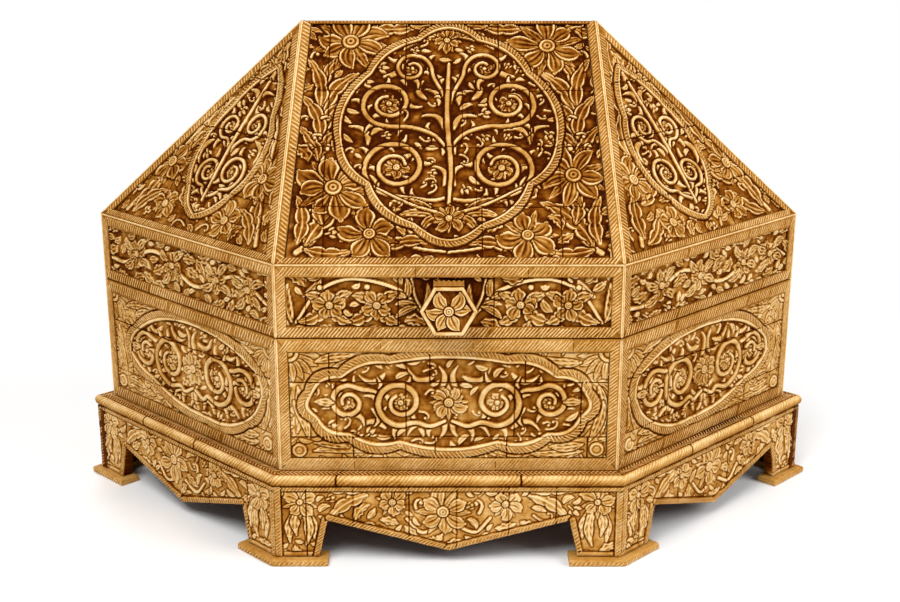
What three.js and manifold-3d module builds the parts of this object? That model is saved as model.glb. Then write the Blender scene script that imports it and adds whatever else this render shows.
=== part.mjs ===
// A carved bone casket: a bracket-foot stand, a six-sided body and a hinged lid like a hipped roof.
// Millimetres, +Z up. The origin is the middle of the plan, on the floor, and the front faces -Y.
// The plan is a long hexagon: a front and a back face, and four side faces that meet at a corner
// at each end. Wooden boards carry bone frames and carved bone panels on every face.
import * as THREE from "three";
import { ConvexGeometry } from "three/addons/geometries/ConvexGeometry.js";
import { mergeVertices } from "three/addons/utils/BufferGeometryUtils.js";
import Module from "manifold-3d";

const wasm = await Module();
wasm.setup();

// Plan
const faceLength = 180; // front and back face of the body, corner to corner
const halfDepth = 115; // from the centre plane to the front face
const sideAngle = 45; // how far each side face turns away from the front or back face

// Heights above the floor
const padThick = 4;
const ledgeTop = 51;
const seamHeight = 125;
const eaveHeight = 165;
const ridgeHeight = 277;
const ridgeHalf = 83.5; // half the ridge's length

// Boards and bone plates
const boardThick = 7; // wooden walls of the body and the lid
const floorThick = 6;
const plateThick = 3; // bone frames
const panelDrop = 0.4; // how far the carved panels lie under the frames
const joint = 0.3; // the dark line between two plates, and between a plate and its board
const seamGap = 0.25; // each side of the seam, between the plates of the body and of the lid

// Frames
const bodyStile = 6.2;
const bodyTopRail = 7.7;
const bodyBottomRail = 7;
const roofHipStrip = 5.8;
const roofEaveStrip = 4.4;
const roofRidgeStrip = 2.6;
const bandStile = 6;
const bandTopBorder = 7;
const bandBottomBorder = 6;
const bandFieldDrop = 0.8;

// Carving on the roof panels: its main forms, which stand on a sunk ground
const carvedDepth = 1.3;
const ringHalf = 2; // half the width of the lobed ring
const scrollHalf = 1.5;
const leafHalf = 3.6;
const petalNotch = 0.6; // how far the gap between two petals reaches in, as a share of the flower
const lobeSteps = 4;
const fused = 0.5; // how far the forms run on into the plate that carries them
const formSlack = 0.05; // corners of the forms that lie closer to a line than this are left out

// Stand
const ledgeReach = 8.2; // the ledge stands out this far from the body
const ledgeThick = 6.6;
const ledgeRound = 1.6; // the bullnose edge, cut as a bevel
const apronReach = 7.6;
const apronThick = 7;
const legTopWidth = 28.6;
const legFootWidth = 23.8;
const archHeight = 25; // floor to the top of the gap beside a leg
const pointHeight = 7.4; // floor to the lowest point of the V
const padReach = 11.7;
const padToe = 5; // how far a pad runs on past its leg
const padDepth = 13;
const padRound = 1;

// Pull on the lid
const pullHeight = seamHeight + 18.8; // floor to its middle
const pullReach = 14; // band face to the front of the plate
const rosetteRadius = 14.9;
const rosetteThick = 2.6;
const bossRadius = 3.6;
const bossHeight = 0.7;
const stemWidth = 15.6;
const stemTall = 25.4;
const stemFlutes = 6;
const fluteDepth = 0.8;
const pullPinRadius = 1;
const pullPinSink = 0.5; // how far the pin lies under the boss

// Hinge
const hingeLength = 120;
const knuckles = 5;
const leafThick = 1.4;
const leafTall = 7.2;
const barrelRadius = 2.2;
const barrelOut = 3; // back face to the hinge axis
const pinRadius = 1;
const pinPlay = 0.2;
const knuckleGap = 0.4;
const pinHead = 0.8; // the pin's riveted ends
const screwsPerLeaf = 4;
const screwRadius = 0.9;
const screwHeadRadius = 1.7;
const screwHeadThick = 0.7;
const screwLength = 8;
const screwPlay = 0.25;
const screwSides = 10;
const roundSides = 20;

// Colours
const bone = { color: 0xd8aa60, roughness: 0.45, metalness: 0 };
const honey = { color: 0xc8934a, roughness: 0.45, metalness: 0 };
const wood = { color: 0x6b3f1f, roughness: 0.6, metalness: 0 };
const brass = { color: 0xa8823c, roughness: 0.35, metalness: 0.9 };
const iron = { color: 0x2b2018, roughness: 0.7, metalness: 0.6 };

const radians = THREE.MathUtils.degToRad;
const vector = (x, y, z) => new THREE.Vector3(x, y, z);
const up = vector(0, 0, 1);

// A plane is kept as { n, d }: the solid lies where n.p <= d.
const half = (n, d) => ({ n: n.clone().normalize(), d: d / n.length() });
const shifted = (plane, by) => ({ n: plane.n, d: plane.d - by });
const below = (z) => ({ n: up, d: z });
const above = (z) => ({ n: up.clone().negate(), d: -z });
const flipped = (plane) => ({ n: plane.n.clone().negate(), d: -plane.d });

// Solids and cuts
function toSolid(geometry) {
  const bare = geometry.clone();
  bare.deleteAttribute("normal");
  bare.deleteAttribute("uv");
  const merged = mergeVertices(bare, 1e-4);
  const vertProperties = Float32Array.from(merged.attributes.position.array);
  const triVerts = Uint32Array.from(merged.index.array);
  return new wasm.Manifold(new wasm.Mesh({ numProp: 3, vertProperties, triVerts }));
}

function toGeometry(solid) {
  const mesh = solid.getMesh();
  const geometry = new THREE.BufferGeometry();
  geometry.setAttribute("position", new THREE.BufferAttribute(Float32Array.from(mesh.vertProperties), 3));
  geometry.setIndex(new THREE.BufferAttribute(Uint32Array.from(mesh.triVerts), 1));
  return geometry;
}

// The corners of the space inside a set of planes
function cornersOf(planes) {
  const slack = 1e-6;
  const same = 1e-4;
  const corners = [];
  const matrix = new THREE.Matrix3();
  for (let i = 0; i < planes.length; i += 1) {
    for (let j = i + 1; j < planes.length; j += 1) {
      for (let k = j + 1; k < planes.length; k += 1) {
        const [a, b, c] = [planes[i].n, planes[j].n, planes[k].n];
        matrix.set(a.x, a.y, a.z, b.x, b.y, b.z, c.x, c.y, c.z);
        if (Math.abs(matrix.determinant()) < slack) continue;
        const point = vector(planes[i].d, planes[j].d, planes[k].d).applyMatrix3(matrix.invert());
        const inside = planes.every((plane) => plane.n.dot(point) <= plane.d + same);
        const known = corners.some((corner) => corner.distanceTo(point) < same);
        if (inside && !known) corners.push(point);
      }
    }
  }
  return corners;
}

const convex = (planes) => toSolid(new ConvexGeometry(cornersOf(planes)));

// The six faces of the plan, by name, with the direction that each one looks in
const corner = new THREE.Vector2(faceLength / 2, halfDepth);
function planFace(name, angle) {
  const turn = radians(angle);
  const n = vector(Math.cos(turn), Math.sin(turn), 0);
  const along = vector(-Math.sin(turn), Math.cos(turn), 0);
  const d = Math.abs(n.x) * corner.x + Math.abs(n.y) * corner.y;
  return { name, n, d, along };
}
const faces = [
  planFace("front", -90),
  planFace("front_right", -90 + sideAngle),
  planFace("back_right", 90 - sideAngle),
  planFace("back", 90),
  planFace("back_left", 90 + sideAngle),
  planFace("front_left", -90 - sideAngle),
];
const tipX = faces[1].d / Math.cos(radians(90 - sideAngle)); // the corner at each end of the plan
const sideLength = Math.hypot(tipX - corner.x, corner.y);
const lengthOf = (face) => (Math.abs(face.n.y) > Math.cos(radians(sideAngle / 2)) ? faceLength : sideLength);
const middleOf = (face) => {
  if (lengthOf(face) === faceLength) return 0;
  const middle = vector(Math.sign(face.n.x) * (corner.x + tipX) / 2, Math.sign(face.n.y) * corner.y / 2, 0);
  return middle.dot(face.along);
};

// The roof planes rise from the eave to the ridge.
const roofFaces = faces.map((face) => {
  const eavePoint = face.n.clone().multiplyScalar(face.d).setZ(eaveHeight);
  const end = lengthOf(face) === faceLength ? 0 : Math.sign(face.n.x) * ridgeHalf;
  const ridgePoint = vector(end, 0, ridgeHeight);
  const run = face.d - ridgePoint.dot(face.n);
  const n = face.n.clone().multiplyScalar(ridgeHeight - eaveHeight).addScaledVector(up, run).normalize();
  return { name: face.name, n, d: n.dot(eavePoint), along: face.along };
});

// How far a face reaches from its middle, at a depth outside the body, to its next or its last corner
function endOf(face, sign, outward) {
  const place = faces.indexOf(face);
  const neighbour = faces[(place + sign + faces.length) % faces.length];
  return lengthOf(face) / 2 + outward * Math.tan(face.n.angleTo(neighbour.n) / 2);
}

const prism = (outward, low, high) => [...faces.map((face) => shifted(face, -outward)), below(high), above(low)];
const lidShape = (inward, low) => [...faces, ...roofFaces].map((plane) => shifted(plane, inward)).concat(above(low));

// One face's share of a shell: between two depths, cut back from its neighbours along the mitres
function mitred(face, group, outer, inner, gap, extra = []) {
  const cuts = group.filter((other) => other !== face).map((other) => {
    const n = other.n.clone().sub(face.n);
    const plane = half(n, other.d - face.d);
    return shifted(plane, gap / 2);
  });
  return [shifted(face, outer), shifted(flipped(face), -inner), ...cuts, ...extra];
}

// An outline drawn on a face and pushed through it, from one depth to another (inward counts up)
function onFace(face, shape, outer, inner, lift = 0) {
  const geometry = new THREE.ExtrudeGeometry(shape, { depth: inner - outer, bevelEnabled: false });
  const rise = face.n.clone().cross(face.along);
  const base = new THREE.Matrix4().makeBasis(face.along, rise, face.n);
  base.setPosition(face.n.clone().multiplyScalar(face.d - inner).addScaledVector(up, lift));
  geometry.applyMatrix4(base);
  return toSolid(geometry);
}

const outline = (points) => new THREE.Shape(points.map(([x, y]) => new THREE.Vector2(x, y)));
const rectangle = (left, right, low, high) => outline([[left, low], [right, low], [right, high], [left, high]]);

function evenSided(radius, sides) {
  const turnOf = (i) => (2 * Math.PI * i) / sides;
  return outline(Array.from({ length: sides }, (_, i) => [
    radius * Math.cos(turnOf(i)),
    radius * Math.sin(turnOf(i)),
  ]));
}

// The outline of one roof face in its own plane, and the same outline drawn in by its strips
function roofOutline(face) {
  const rise = face.n.clone().cross(face.along);
  const onPlane = cornersOf(lidShape(0, seamHeight)).filter((point) => Math.abs(face.n.dot(point) - face.d) < 0.01);
  const flat = onPlane.map((point) => new THREE.Vector2(point.dot(face.along), point.dot(rise)));
  const centre = flat.reduce((sum, point) => sum.add(point), new THREE.Vector2()).divideScalar(flat.length);
  const turn = (point) => Math.atan2(point.y - centre.y, point.x - centre.x);
  return flat.sort((a, b) => turn(a) - turn(b));
}

function drawnIn(points, widthOf) {
  const count = points.length;
  const lines = points.map((point, i) => {
    const next = points[(i + 1) % count];
    const way = next.clone().sub(point).normalize();
    const inward = new THREE.Vector2(-way.y, way.x);
    return { point: point.clone().addScaledVector(inward, widthOf(way, point)), way };
  });
  return lines.map((line, i) => {
    const last = lines[(i + count - 1) % count];
    const gap = line.point.clone().sub(last.point);
    const t = gap.cross(line.way) / last.way.cross(line.way);
    return last.point.clone().addScaledVector(last.way, t);
  });
}

const roofStrip = (way, point, highest) => {
  if (Math.abs(way.y) > 0.01) return roofHipStrip;
  return point.y > highest - 1 ? roofRidgeStrip : roofEaveStrip;
};

function roofWindow(face, extra) {
  const points = roofOutline(face);
  const highest = Math.max(...points.map((point) => point.y));
  const inner = drawnIn(points, (way, point) => roofStrip(way, point, highest) + extra);
  return new THREE.Shape(inner);
}

// The carving's main forms on one roof face, drawn on a face of the given half length and rise, and
// stretched with the real one. Ring: x, y and the rise of the lobe that follows. Flower: x, y, radius
// and petals. Scroll: its places in a row. Leaf: its foot and its tip.
const mirrored = (rows) => rows.flatMap((row) => [row, row.map((value, i) => (i % 2 === 0 ? -value : value))]);
const frontRing = [[17, 146, 5], [44, 122, 7], [59, 74, 4], [43, 48, 5], [18, 22, 10.4]];
const frontRingBack = [[-18, 22, 5], [-43, 48, 4], [-59, 74, 7], [-44, 122, 5], [-17, 146, 9.5]];
const frontCarving = {
  half: 90,
  rise: 160.5,
  ring: [...frontRing, ...frontRingBack],
  flowers: [[-55, 144, 16, 7], [55, 141, 16, 6], [-61, 46, 16, 8], [66, 54, 16, 7], [-41, 17, 12, 5], [41, 17, 12, 5],
    [0, 27, 7, 5], [0, 143, 6, 6]],
  scrolls: [[0, 38, 0, 128], ...mirrored([
    [2, 43, 14, 40, 28, 44, 40, 56, 41, 70, 31, 78, 20, 74, 18, 64],
    [2, 86, 8, 92, 20, 94, 34, 88, 46, 94, 48, 106, 40, 114, 30, 110],
    [2, 108, 8, 118, 20, 128],
    [79, 6, 70, 14, 64, 28],
    [68, 76, 69, 98],
  ])],
  leaves: mirrored([[68, 14, 40, 33], [68, 94, 55, 122], [70, 94, 76, 128], [42, 153, 16, 157]]),
};
const sideCarving = {
  half: 81.3,
  rise: 141,
  ring: [[5, 110, 3], [22, 78, 2.5], [30, 54, 3], [20, 28, 3], [-1, 12, 3], [-17, 28, 3], [-25, 54, 2.5], [-17, 81, 3]],
  flowers: [[-43, 40, 11, 6], [-30, 15, 8, 5], [40, 43, 11, 6], [27, 14, 8, 5]],
  scrolls: [[0, 26, -1, 58, 4, 98], [0, 26, 12, 36, 12, 48], [0, 26, -12, 38, -10, 54]],
  leaves: [[68, 10, 57, 32], [-68, 10, -57, 32], [54, 38, 40, 62], [-54, 38, -40, 62], [35, 68, 23, 92], [-35, 68, -22, 92],
    [3, 115, 3, 127]],
};

const pairs = (row) => Array.from({ length: row.length / 2 }, (_, i) => new THREE.Vector2(row[2 * i], row[2 * i + 1]));
const section = (points) => new wasm.CrossSection([points.map((point) => [point.x, point.y])], "NonZero");

function lobed(cusps) {
  const points = cusps.flatMap(([x, y, bulge], i) => {
    const from = new THREE.Vector2(x, y);
    const chord = new THREE.Vector2(...cusps[(i + 1) % cusps.length]).sub(from);
    const outward = new THREE.Vector2(-chord.y, chord.x).normalize();
    return Array.from({ length: lobeSteps }, (_, step) => {
      const share = step / lobeSteps;
      return from.clone().addScaledVector(chord, share).addScaledVector(outward, 4 * bulge * share * (1 - share));
    });
  });
  return section(points.reverse());
}

function strap(places) {
  const sides = [1, -1].map((sign) => places.map((place, i) => {
    const [before, after] = [places[Math.max(i - 1, 0)], places[Math.min(i + 1, places.length - 1)]];
    const way = after.clone().sub(before).normalize();
    return place.clone().addScaledVector(new THREE.Vector2(way.y, -way.x), sign * scrollHalf);
  }));
  return section([...sides[0], ...sides[1].reverse()]);
}

function star([x, y, radius, petals]) {
  return section(Array.from({ length: 2 * petals }, (_, i) => {
    const turn = (Math.PI * i) / petals;
    const reach = i % 2 === 0 ? radius : radius * petalNotch;
    return new THREE.Vector2(x + reach * Math.cos(turn), y + reach * Math.sin(turn));
  }));
}

function lens([foot, tip]) {
  const way = tip.clone().sub(foot).normalize();
  const side = new THREE.Vector2(way.y, -way.x).multiplyScalar(leafHalf);
  const middle = foot.clone().lerp(tip, 0.5);
  return section([foot, middle.clone().add(side), tip, middle.clone().sub(side)]);
}

function carvedForms(face) {
  const flat = roofOutline(face);
  const low = Math.min(...flat.map((point) => point.y));
  const eave = flat.filter((point) => point.y < low + 1).map((point) => point.x);
  const [left, right] = [Math.min(...eave), Math.max(...eave)];
  const rise = Math.max(...flat.map((point) => point.y)) - low;
  const isLong = face.name === "front" || face.name === "back";
  const carving = isLong ? frontCarving : sideCarving;
  const hand = isLong || face.name === "front_left" || face.name === "back_right" ? 1 : -1;
  const ring = lobed(carving.ring);
  const forms = wasm.CrossSection.union([
    ring.offset(ringHalf, "Square").subtract(ring.offset(-ringHalf, "Square")),
    ...carving.flowers.map(star),
    ...carving.scrolls.map((row) => strap(pairs(row))),
    ...carving.leaves.map((row) => lens(pairs(row))),
  ]);
  return forms
    .scale([(hand * (right - left)) / 2 / carving.half, rise / carving.rise])
    .translate([(left + right) / 2, low]);
}

// Forms on a face, standing between two depths inside it, and kept clear of its edge
function raised(face, forms, window, outer, inner) {
  const limit = new wasm.CrossSection([window.getPoints().map((point) => [point.x, point.y])], "NonZero");
  const rise = face.n.clone().cross(face.along);
  const base = new THREE.Matrix4().makeBasis(face.along, rise, face.n);
  base.setPosition(face.n.clone().multiplyScalar(face.d - inner));
  return forms.intersect(limit).simplify(formSlack).extrude(inner - outer).transform(base.elements);
}

// Scene graph
const casket = new THREE.Group();
function add(name, solid, look) {
  const mesh = new THREE.Mesh(toGeometry(solid), new THREE.MeshStandardMaterial(look));
  mesh.name = name;
  casket.add(mesh);
}

const panelBack = plateThick;
const boardFace = plateThick + joint;
const hingeAxis = vector(0, halfDepth + barrelOut, seamHeight);
const back = faces[3];
const front = faces[0];

// A round bar along an axis, from one point over a length
function bar(from, way, radius, length, sides = roundSides) {
  const geometry = new THREE.CylinderGeometry(radius, radius, length, sides);
  geometry.translate(0, length / 2, 0);
  const turn = new THREE.Quaternion().setFromUnitVectors(vector(0, 1, 0), way);
  geometry.applyQuaternion(turn);
  geometry.translate(from.x, from.y, from.z);
  return toSolid(geometry);
}

function block(low, high) {
  const size = high.clone().sub(low);
  const geometry = new THREE.BoxGeometry(size.x, size.y, size.z);
  const centre = low.clone().add(high).multiplyScalar(0.5);
  geometry.translate(centre.x, centre.y, centre.z);
  return toSolid(geometry);
}

// Where the hinge's screws go: a row on the body's top rail and one on the lid's bottom border
const screwStep = hingeLength / screwsPerLeaf;
const leafLift = joint; // the leaves' clear edge beside the seam
const screwRise = leafLift + (barrelRadius + knuckleGap + leafTall) / 2;
const screwPlaces = [-1, 1].flatMap((side) =>
  Array.from({ length: screwsPerLeaf }, (_, i) => vector(
    -hingeLength / 2 + screwStep * (i + 0.5),
    halfDepth + leafThick,
    seamHeight + side * screwRise,
  )));
const inwards = vector(0, -1, 0);
const screwHoles = screwPlaces.map((place) => {
  const from = place.clone().setY(halfDepth + leafThick + 1);
  return bar(from, inwards, screwRadius + screwPlay, screwLength + 2, screwSides);
});
const drilled = (solid) => screwHoles.reduce((rest, hole) => rest.subtract(hole), solid);

// Hinge leaves: a plate with its own knuckles, notched for the other leaf's
const knuckleLength = hingeLength / knuckles;
function leaf(side) {
  const own = (i) => (side < 0 ? i % 2 === 0 : i % 2 === 1);
  const edges = [seamHeight + side * leafLift, seamHeight + side * leafTall].sort((a, b) => a - b);
  let solid = block(
    vector(-hingeLength / 2, halfDepth, edges[0]),
    vector(hingeLength / 2, halfDepth + leafThick, edges[1]),
  );
  const notch = barrelRadius + knuckleGap;
  for (let i = 0; i < knuckles; i += 1) {
    const start = -hingeLength / 2 + i * knuckleLength;
    if (own(i)) {
      const trim = [i === 0 ? 0 : knuckleGap / 2, i === knuckles - 1 ? 0 : knuckleGap / 2];
      const from = hingeAxis.clone().setX(start + trim[0]);
      solid = solid.add(bar(from, vector(1, 0, 0), barrelRadius, knuckleLength - trim[0] - trim[1]));
    } else {
      const cut = [seamHeight - side, seamHeight + side * notch].sort((a, b) => a - b);
      solid = solid.subtract(block(
        vector(start - knuckleGap / 2, halfDepth - 1, cut[0]),
        vector(start + knuckleLength + knuckleGap / 2, halfDepth + leafThick + 1, cut[1]),
      ));
    }
  }
  const bore = bar(hingeAxis.clone().setX(-hingeLength), vector(1, 0, 0), pinRadius + pinPlay, 2 * hingeLength);
  return drilled(solid.subtract(bore));
}

function hinge() {
  add("hinge_leaf_body", leaf(-1), brass);
  add("hinge_leaf_lid", leaf(1), brass);
  const overhang = pinPlay + pinHead;
  const shank = bar(
    hingeAxis.clone().setX(-hingeLength / 2 - overhang),
    vector(1, 0, 0),
    pinRadius,
    hingeLength + 2 * overhang,
  );
  const heads = [-hingeLength / 2 - overhang, hingeLength / 2 + pinPlay].map((x) =>
    bar(hingeAxis.clone().setX(x), vector(1, 0, 0), pinRadius + pinHead, pinHead));
  add("hinge_pin", heads.reduce((whole, head) => whole.add(head), shank), brass);
  screwPlaces.forEach((place, i) => {
    const shaft = bar(place, inwards, screwRadius, screwLength, screwSides);
    const head = bar(place, vector(0, 1, 0), screwHeadRadius, screwHeadThick, screwSides);
    add(`hinge_screw_${i + 1}`, shaft.add(head), brass);
  });
}

// Stand: the ledge board, six aprons with their half-legs, and a pad under each corner
function baseBoard() {
  const low = ledgeTop - ledgeThick;
  const slab = prism(ledgeReach, low, ledgeTop);
  const bevels = faces.flatMap((face) => [1, -1].map((side) => {
    const n = face.n.clone().addScaledVector(up, side);
    const edge = face.d + ledgeReach + side * (side > 0 ? ledgeTop : low) - ledgeRound;
    return half(n, edge);
  }));
  add("base_board", convex([...slab, ...bevels]), bone);
}

function apronOutline(face) {
  const middle = middleOf(face);
  const top = ledgeTop - ledgeThick;
  const side = (sign) => {
    const end = endOf(face, sign, apronReach);
    return [
      [middle + sign * (end + apronReach), top], // past the mitre, which cuts it back
      [middle + sign * (end + apronReach), padThick],
      [middle + sign * (end - legFootWidth), padThick],
      [middle + sign * (end - legTopWidth), archHeight],
    ];
  };
  const [right, left] = [side(1), side(-1)];
  const point = [(right.at(-1)[0] + left.at(-1)[0]) / 2, pointHeight];
  return outline([...left, point, ...right.reverse()]);
}

function aprons() {
  faces.forEach((face) => {
    const slab = convex(mitred(face, faces, -apronReach, apronThick - apronReach, joint, [above(0), below(ledgeTop)]));
    const board = onFace(face, apronOutline(face), -apronReach - 1, apronThick - apronReach + 1);
    add(`apron_${face.name}`, board.intersect(slab), bone);
  });
}

const cornerNames = ["front_right", "right", "back_right", "back_left", "left", "front_left"];
function footPads() {
  cornerNames.forEach((name, i) => {
    const pair = [faces[i], faces[(i + 1) % faces.length]];
    const arms = pair.map((face, which) => {
      const other = pair[1 - which];
      const sign = which === 0 ? 1 : -1; // which end of this face the corner is at
      const end = middleOf(face) * sign + endOf(face, sign, apronReach) - legFootWidth - padToe;
      const stop = half(face.along.clone().multiplyScalar(-sign), -end);
      return convex([
        shifted(face, -padReach),
        shifted(flipped(face), padReach - padDepth),
        shifted(other, -padReach),
        stop,
        below(padThick),
        above(0),
        half(face.n.clone().add(up), face.d + padReach + padThick - padRound),
        half(other.n.clone().add(up), other.d + padReach + padThick - padRound),
      ]);
    });
    add(`foot_pad_${name}`, arms[0].add(arms[1]), bone);
  });
}

// Body: floor, wooden walls, and on each face a bone frame round a carved panel
function body() {
  const outer = convex(prism(-boardFace, ledgeTop, seamHeight));
  const inner = convex(prism(-boardFace - boardThick, ledgeTop - 1, seamHeight + 1));
  add("body_carcass", drilled(outer.subtract(inner)), wood);
  add("body_floor", convex(prism(-boardFace - boardThick - joint, ledgeTop, ledgeTop + floorThick)), wood);
  const limits = [above(ledgeTop), below(seamHeight - seamGap)];
  faces.forEach((face) => {
    const middle = middleOf(face);
    const side = lengthOf(face) / 2 - bodyStile;
    const [low, high] = [ledgeTop + bodyBottomRail, seamHeight - bodyTopRail];
    const opening = rectangle(middle - side, middle + side, low, high);
    const field = rectangle(middle - side + joint, middle + side - joint, low + joint, high - joint);
    const slab = convex(mitred(face, faces, 0, plateThick, joint, limits));
    const frame = slab.subtract(onFace(face, opening, -1, plateThick + 1));
    add(`body_frame_${face.name}`, face === back ? drilled(frame) : frame, honey);
    add(`body_panel_${face.name}`, onFace(face, field, panelDrop, panelBack), bone);
  });
}

// Lid: a wooden shell, bordered bands round its upright part, and a framed panel on each slope
function pullPinHole(radius) {
  return bar(vector(0, -halfDepth - pullReach - 1, pullHeight), vector(0, 1, 0), radius, pullReach + screwLength + 1);
}

function lid() {
  const all = [...faces, ...roofFaces];
  const outer = convex(lidShape(boardFace, seamHeight));
  const inner = convex(lidShape(boardFace + boardThick, seamHeight - 1));
  const pinHole = pullPinHole(pullPinRadius + pinPlay);
  add("lid_carcass", drilled(outer.subtract(inner)).subtract(pinHole), wood);
  const lowest = [above(seamHeight + seamGap)];
  faces.forEach((face) => {
    const slab = convex(mitred(face, all, 0, plateThick, joint, lowest));
    const middle = middleOf(face);
    const side = lengthOf(face) / 2 - bandStile;
    const sunk = rectangle(middle - side, middle + side, seamHeight + bandBottomBorder, eaveHeight - bandTopBorder);
    let band = slab.subtract(onFace(face, sunk, -1, bandFieldDrop));
    if (face === back) band = drilled(band);
    if (face === front) band = band.subtract(pinHole);
    add(`lid_band_${face.name}`, band, bone);
  });
  roofFaces.forEach((face) => {
    const slab = convex(mitred(face, all, 0, plateThick, joint));
    add(`roof_frame_${face.name}`, slab.subtract(onFace(face, roofWindow(face, 0), -1, plateThick + 1)), honey);
    const share = convex(mitred(face, all, 0, panelBack, joint));
    const window = roofWindow(face, joint);
    const ground = onFace(face, window, panelDrop + carvedDepth, panelBack);
    const forms = raised(face, carvedForms(face), window, panelDrop, panelDrop + carvedDepth + fused);
    add(`roof_panel_${face.name}`, ground.add(forms).intersect(share), bone);
  });
}

// Pull: a fluted stem on the band, a hexagonal rosette plate with a boss, and the pin that holds both
function stemOutline() {
  const right = stemWidth / 2;
  const top = stemTall / 2;
  const pitch = stemWidth / stemFlutes;
  const flutes = Array.from({ length: stemFlutes }, (_, i) => right - i * pitch).flatMap((x) => [
    [x - pitch / 2, top - fluteDepth],
    [x - pitch, top],
  ]);
  return outline([[-right, -top], [right, -top], [right, top], ...flutes]);
}

function pull() {
  const place = (shape, outer, inner) => onFace(front, shape, outer, inner, pullHeight);
  const plateBack = rosetteThick - pullReach;
  const plateFront = bossHeight - pullReach;
  const hole = pullPinHole(pullPinRadius + pinPlay);
  add("knob_stem", place(stemOutline(), plateBack, bandFieldDrop).subtract(hole), bone);
  const plate = place(evenSided(rosetteRadius, 6), plateFront, plateBack);
  const boss = place(evenSided(bossRadius, roundSides), -pullReach, plateBack);
  add("knob_rosette", plate.add(boss).subtract(hole), bone);
  const from = vector(0, -halfDepth - pullReach + pullPinSink, pullHeight);
  add("knob_pin", bar(from, vector(0, 1, 0), pullPinRadius, pullReach + screwLength - pullPinSink), iron);
}

baseBoard();
aprons();
footPads();
body();
lid();
pull();
hinge();

export default casket;
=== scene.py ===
# %% [markdown]
# # A carved bone casket, dressed in Blender
#
# The casket is a six-sided wooden box on a bracket-foot stand, with a hinged lid like a hipped roof.
# Bone covers all of it: hatched strips along every edge, and carved plates between them.
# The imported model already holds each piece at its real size, so it is loaded here as a fixed frame,
# and this script adds only what an eye sees: the carving, the hatching, the finishes and the light.

import math

import bmesh
import bpy
import numpy as np
from mathutils import Matrix, Vector


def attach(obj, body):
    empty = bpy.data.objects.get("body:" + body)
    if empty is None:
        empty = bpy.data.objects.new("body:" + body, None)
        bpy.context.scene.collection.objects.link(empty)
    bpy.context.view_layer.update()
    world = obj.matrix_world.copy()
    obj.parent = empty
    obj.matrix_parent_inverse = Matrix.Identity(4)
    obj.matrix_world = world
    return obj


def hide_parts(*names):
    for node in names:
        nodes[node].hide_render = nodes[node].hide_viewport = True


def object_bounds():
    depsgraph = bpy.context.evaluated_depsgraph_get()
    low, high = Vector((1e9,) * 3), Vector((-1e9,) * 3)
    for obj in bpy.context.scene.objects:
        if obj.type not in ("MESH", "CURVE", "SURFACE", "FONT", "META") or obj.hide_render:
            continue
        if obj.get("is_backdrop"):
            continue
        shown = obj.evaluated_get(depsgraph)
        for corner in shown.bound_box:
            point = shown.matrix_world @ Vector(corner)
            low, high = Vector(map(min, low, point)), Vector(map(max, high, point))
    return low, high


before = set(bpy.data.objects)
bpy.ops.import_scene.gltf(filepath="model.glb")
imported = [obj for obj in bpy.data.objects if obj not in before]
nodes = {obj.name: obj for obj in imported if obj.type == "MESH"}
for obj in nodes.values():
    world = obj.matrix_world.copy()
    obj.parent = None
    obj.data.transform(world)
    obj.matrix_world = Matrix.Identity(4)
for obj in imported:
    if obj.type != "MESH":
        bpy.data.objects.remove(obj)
cad_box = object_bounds()
MM = 0.001  # the frame is in metres, and the carving is worked in millimetres
spans = [round(side / MM, 1) for side in cad_box[1] - cad_box[0]]
print("The frame has", len(nodes), "pieces and spans", spans, "mm")

# %% [markdown]
# ## The faces of the frame
#
# A bone plate is flat, so everything carved on it can be drawn in two dimensions, as a carver does
# on the plate before it is glued down. Each face below finds the flat front of one CAD piece and
# gives it a paper of its own: u runs to the right, v runs up the face, and h stands out of it.
# The edge of that flat front is traced from the triangles, so no size is written twice.

# %% Faces
EAVE = 165.0  # the height where the roof slopes start, which is v = 0 on them


def merged(node):
    """Points in millimetres and triangles of a CAD piece, with its loose corners joined."""
    mesh = nodes[node].data
    loose = np.array([point.co for point in mesh.vertices]) / MM
    mesh.calc_loop_triangles()
    triangles = np.array([triangle.vertices for triangle in mesh.loop_triangles])
    _, first, place = np.unique(np.round(loose, 3), axis=0, return_index=True, return_inverse=True)
    return loose[first], place.reshape(-1)[triangles]


def chained(edges):
    """Directed edges as closed loops of point numbers."""
    follow = {int(a): int(b) for a, b in edges}
    loops = []
    while follow:
        start, here = follow.popitem()
        loop = [start]
        while here != start:
            loop.append(here)
            here = follow.pop(here)
        loops.append(loop)
    return loops


def border_edges(count, *groups):
    """The directed edges that only one face has, in groups of faces with as many corners each."""
    edges = np.concatenate([np.stack([faces[:, i], faces[:, (i + 1) % faces.shape[1]]], 1)
                            for faces in groups for i in range(faces.shape[1])])
    edges = edges[edges[:, 0] != edges[:, 1]]
    forward = edges[:, 0] * count + edges[:, 1]
    backward = edges[:, 1] * count + edges[:, 0]
    return edges[~np.isin(forward, backward)]


def area_of(loop):
    """Signed area of a closed outline, positive where it turns to the left."""
    after = np.roll(loop, -1, 0)
    return float((loop[:, 0] * after[:, 1] - loop[:, 1] * after[:, 0]).sum() / 2)


def without_straight(loop):
    """An outline without the points that lie on a straight stretch."""
    before = loop - np.roll(loop, 1, 0)
    after = np.roll(loop, -1, 0) - loop
    cross = before[:, 0] * after[:, 1] - before[:, 1] * after[:, 0]
    return loop[np.abs(cross) > 0.02]


def hull(places):
    """The convex outline round some places, turning to the left."""
    halves_found = []
    for order in (1, -1):
        side = []
        for place in sorted(map(tuple, places.round(4)))[::order]:
            while len(side) > 1 and area_of(np.array([side[-2], side[-1], place])) <= 1e-6:
                side.pop()
            side.append(place)
        halves_found += side[:-1]
    return np.array(halves_found)


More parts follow.
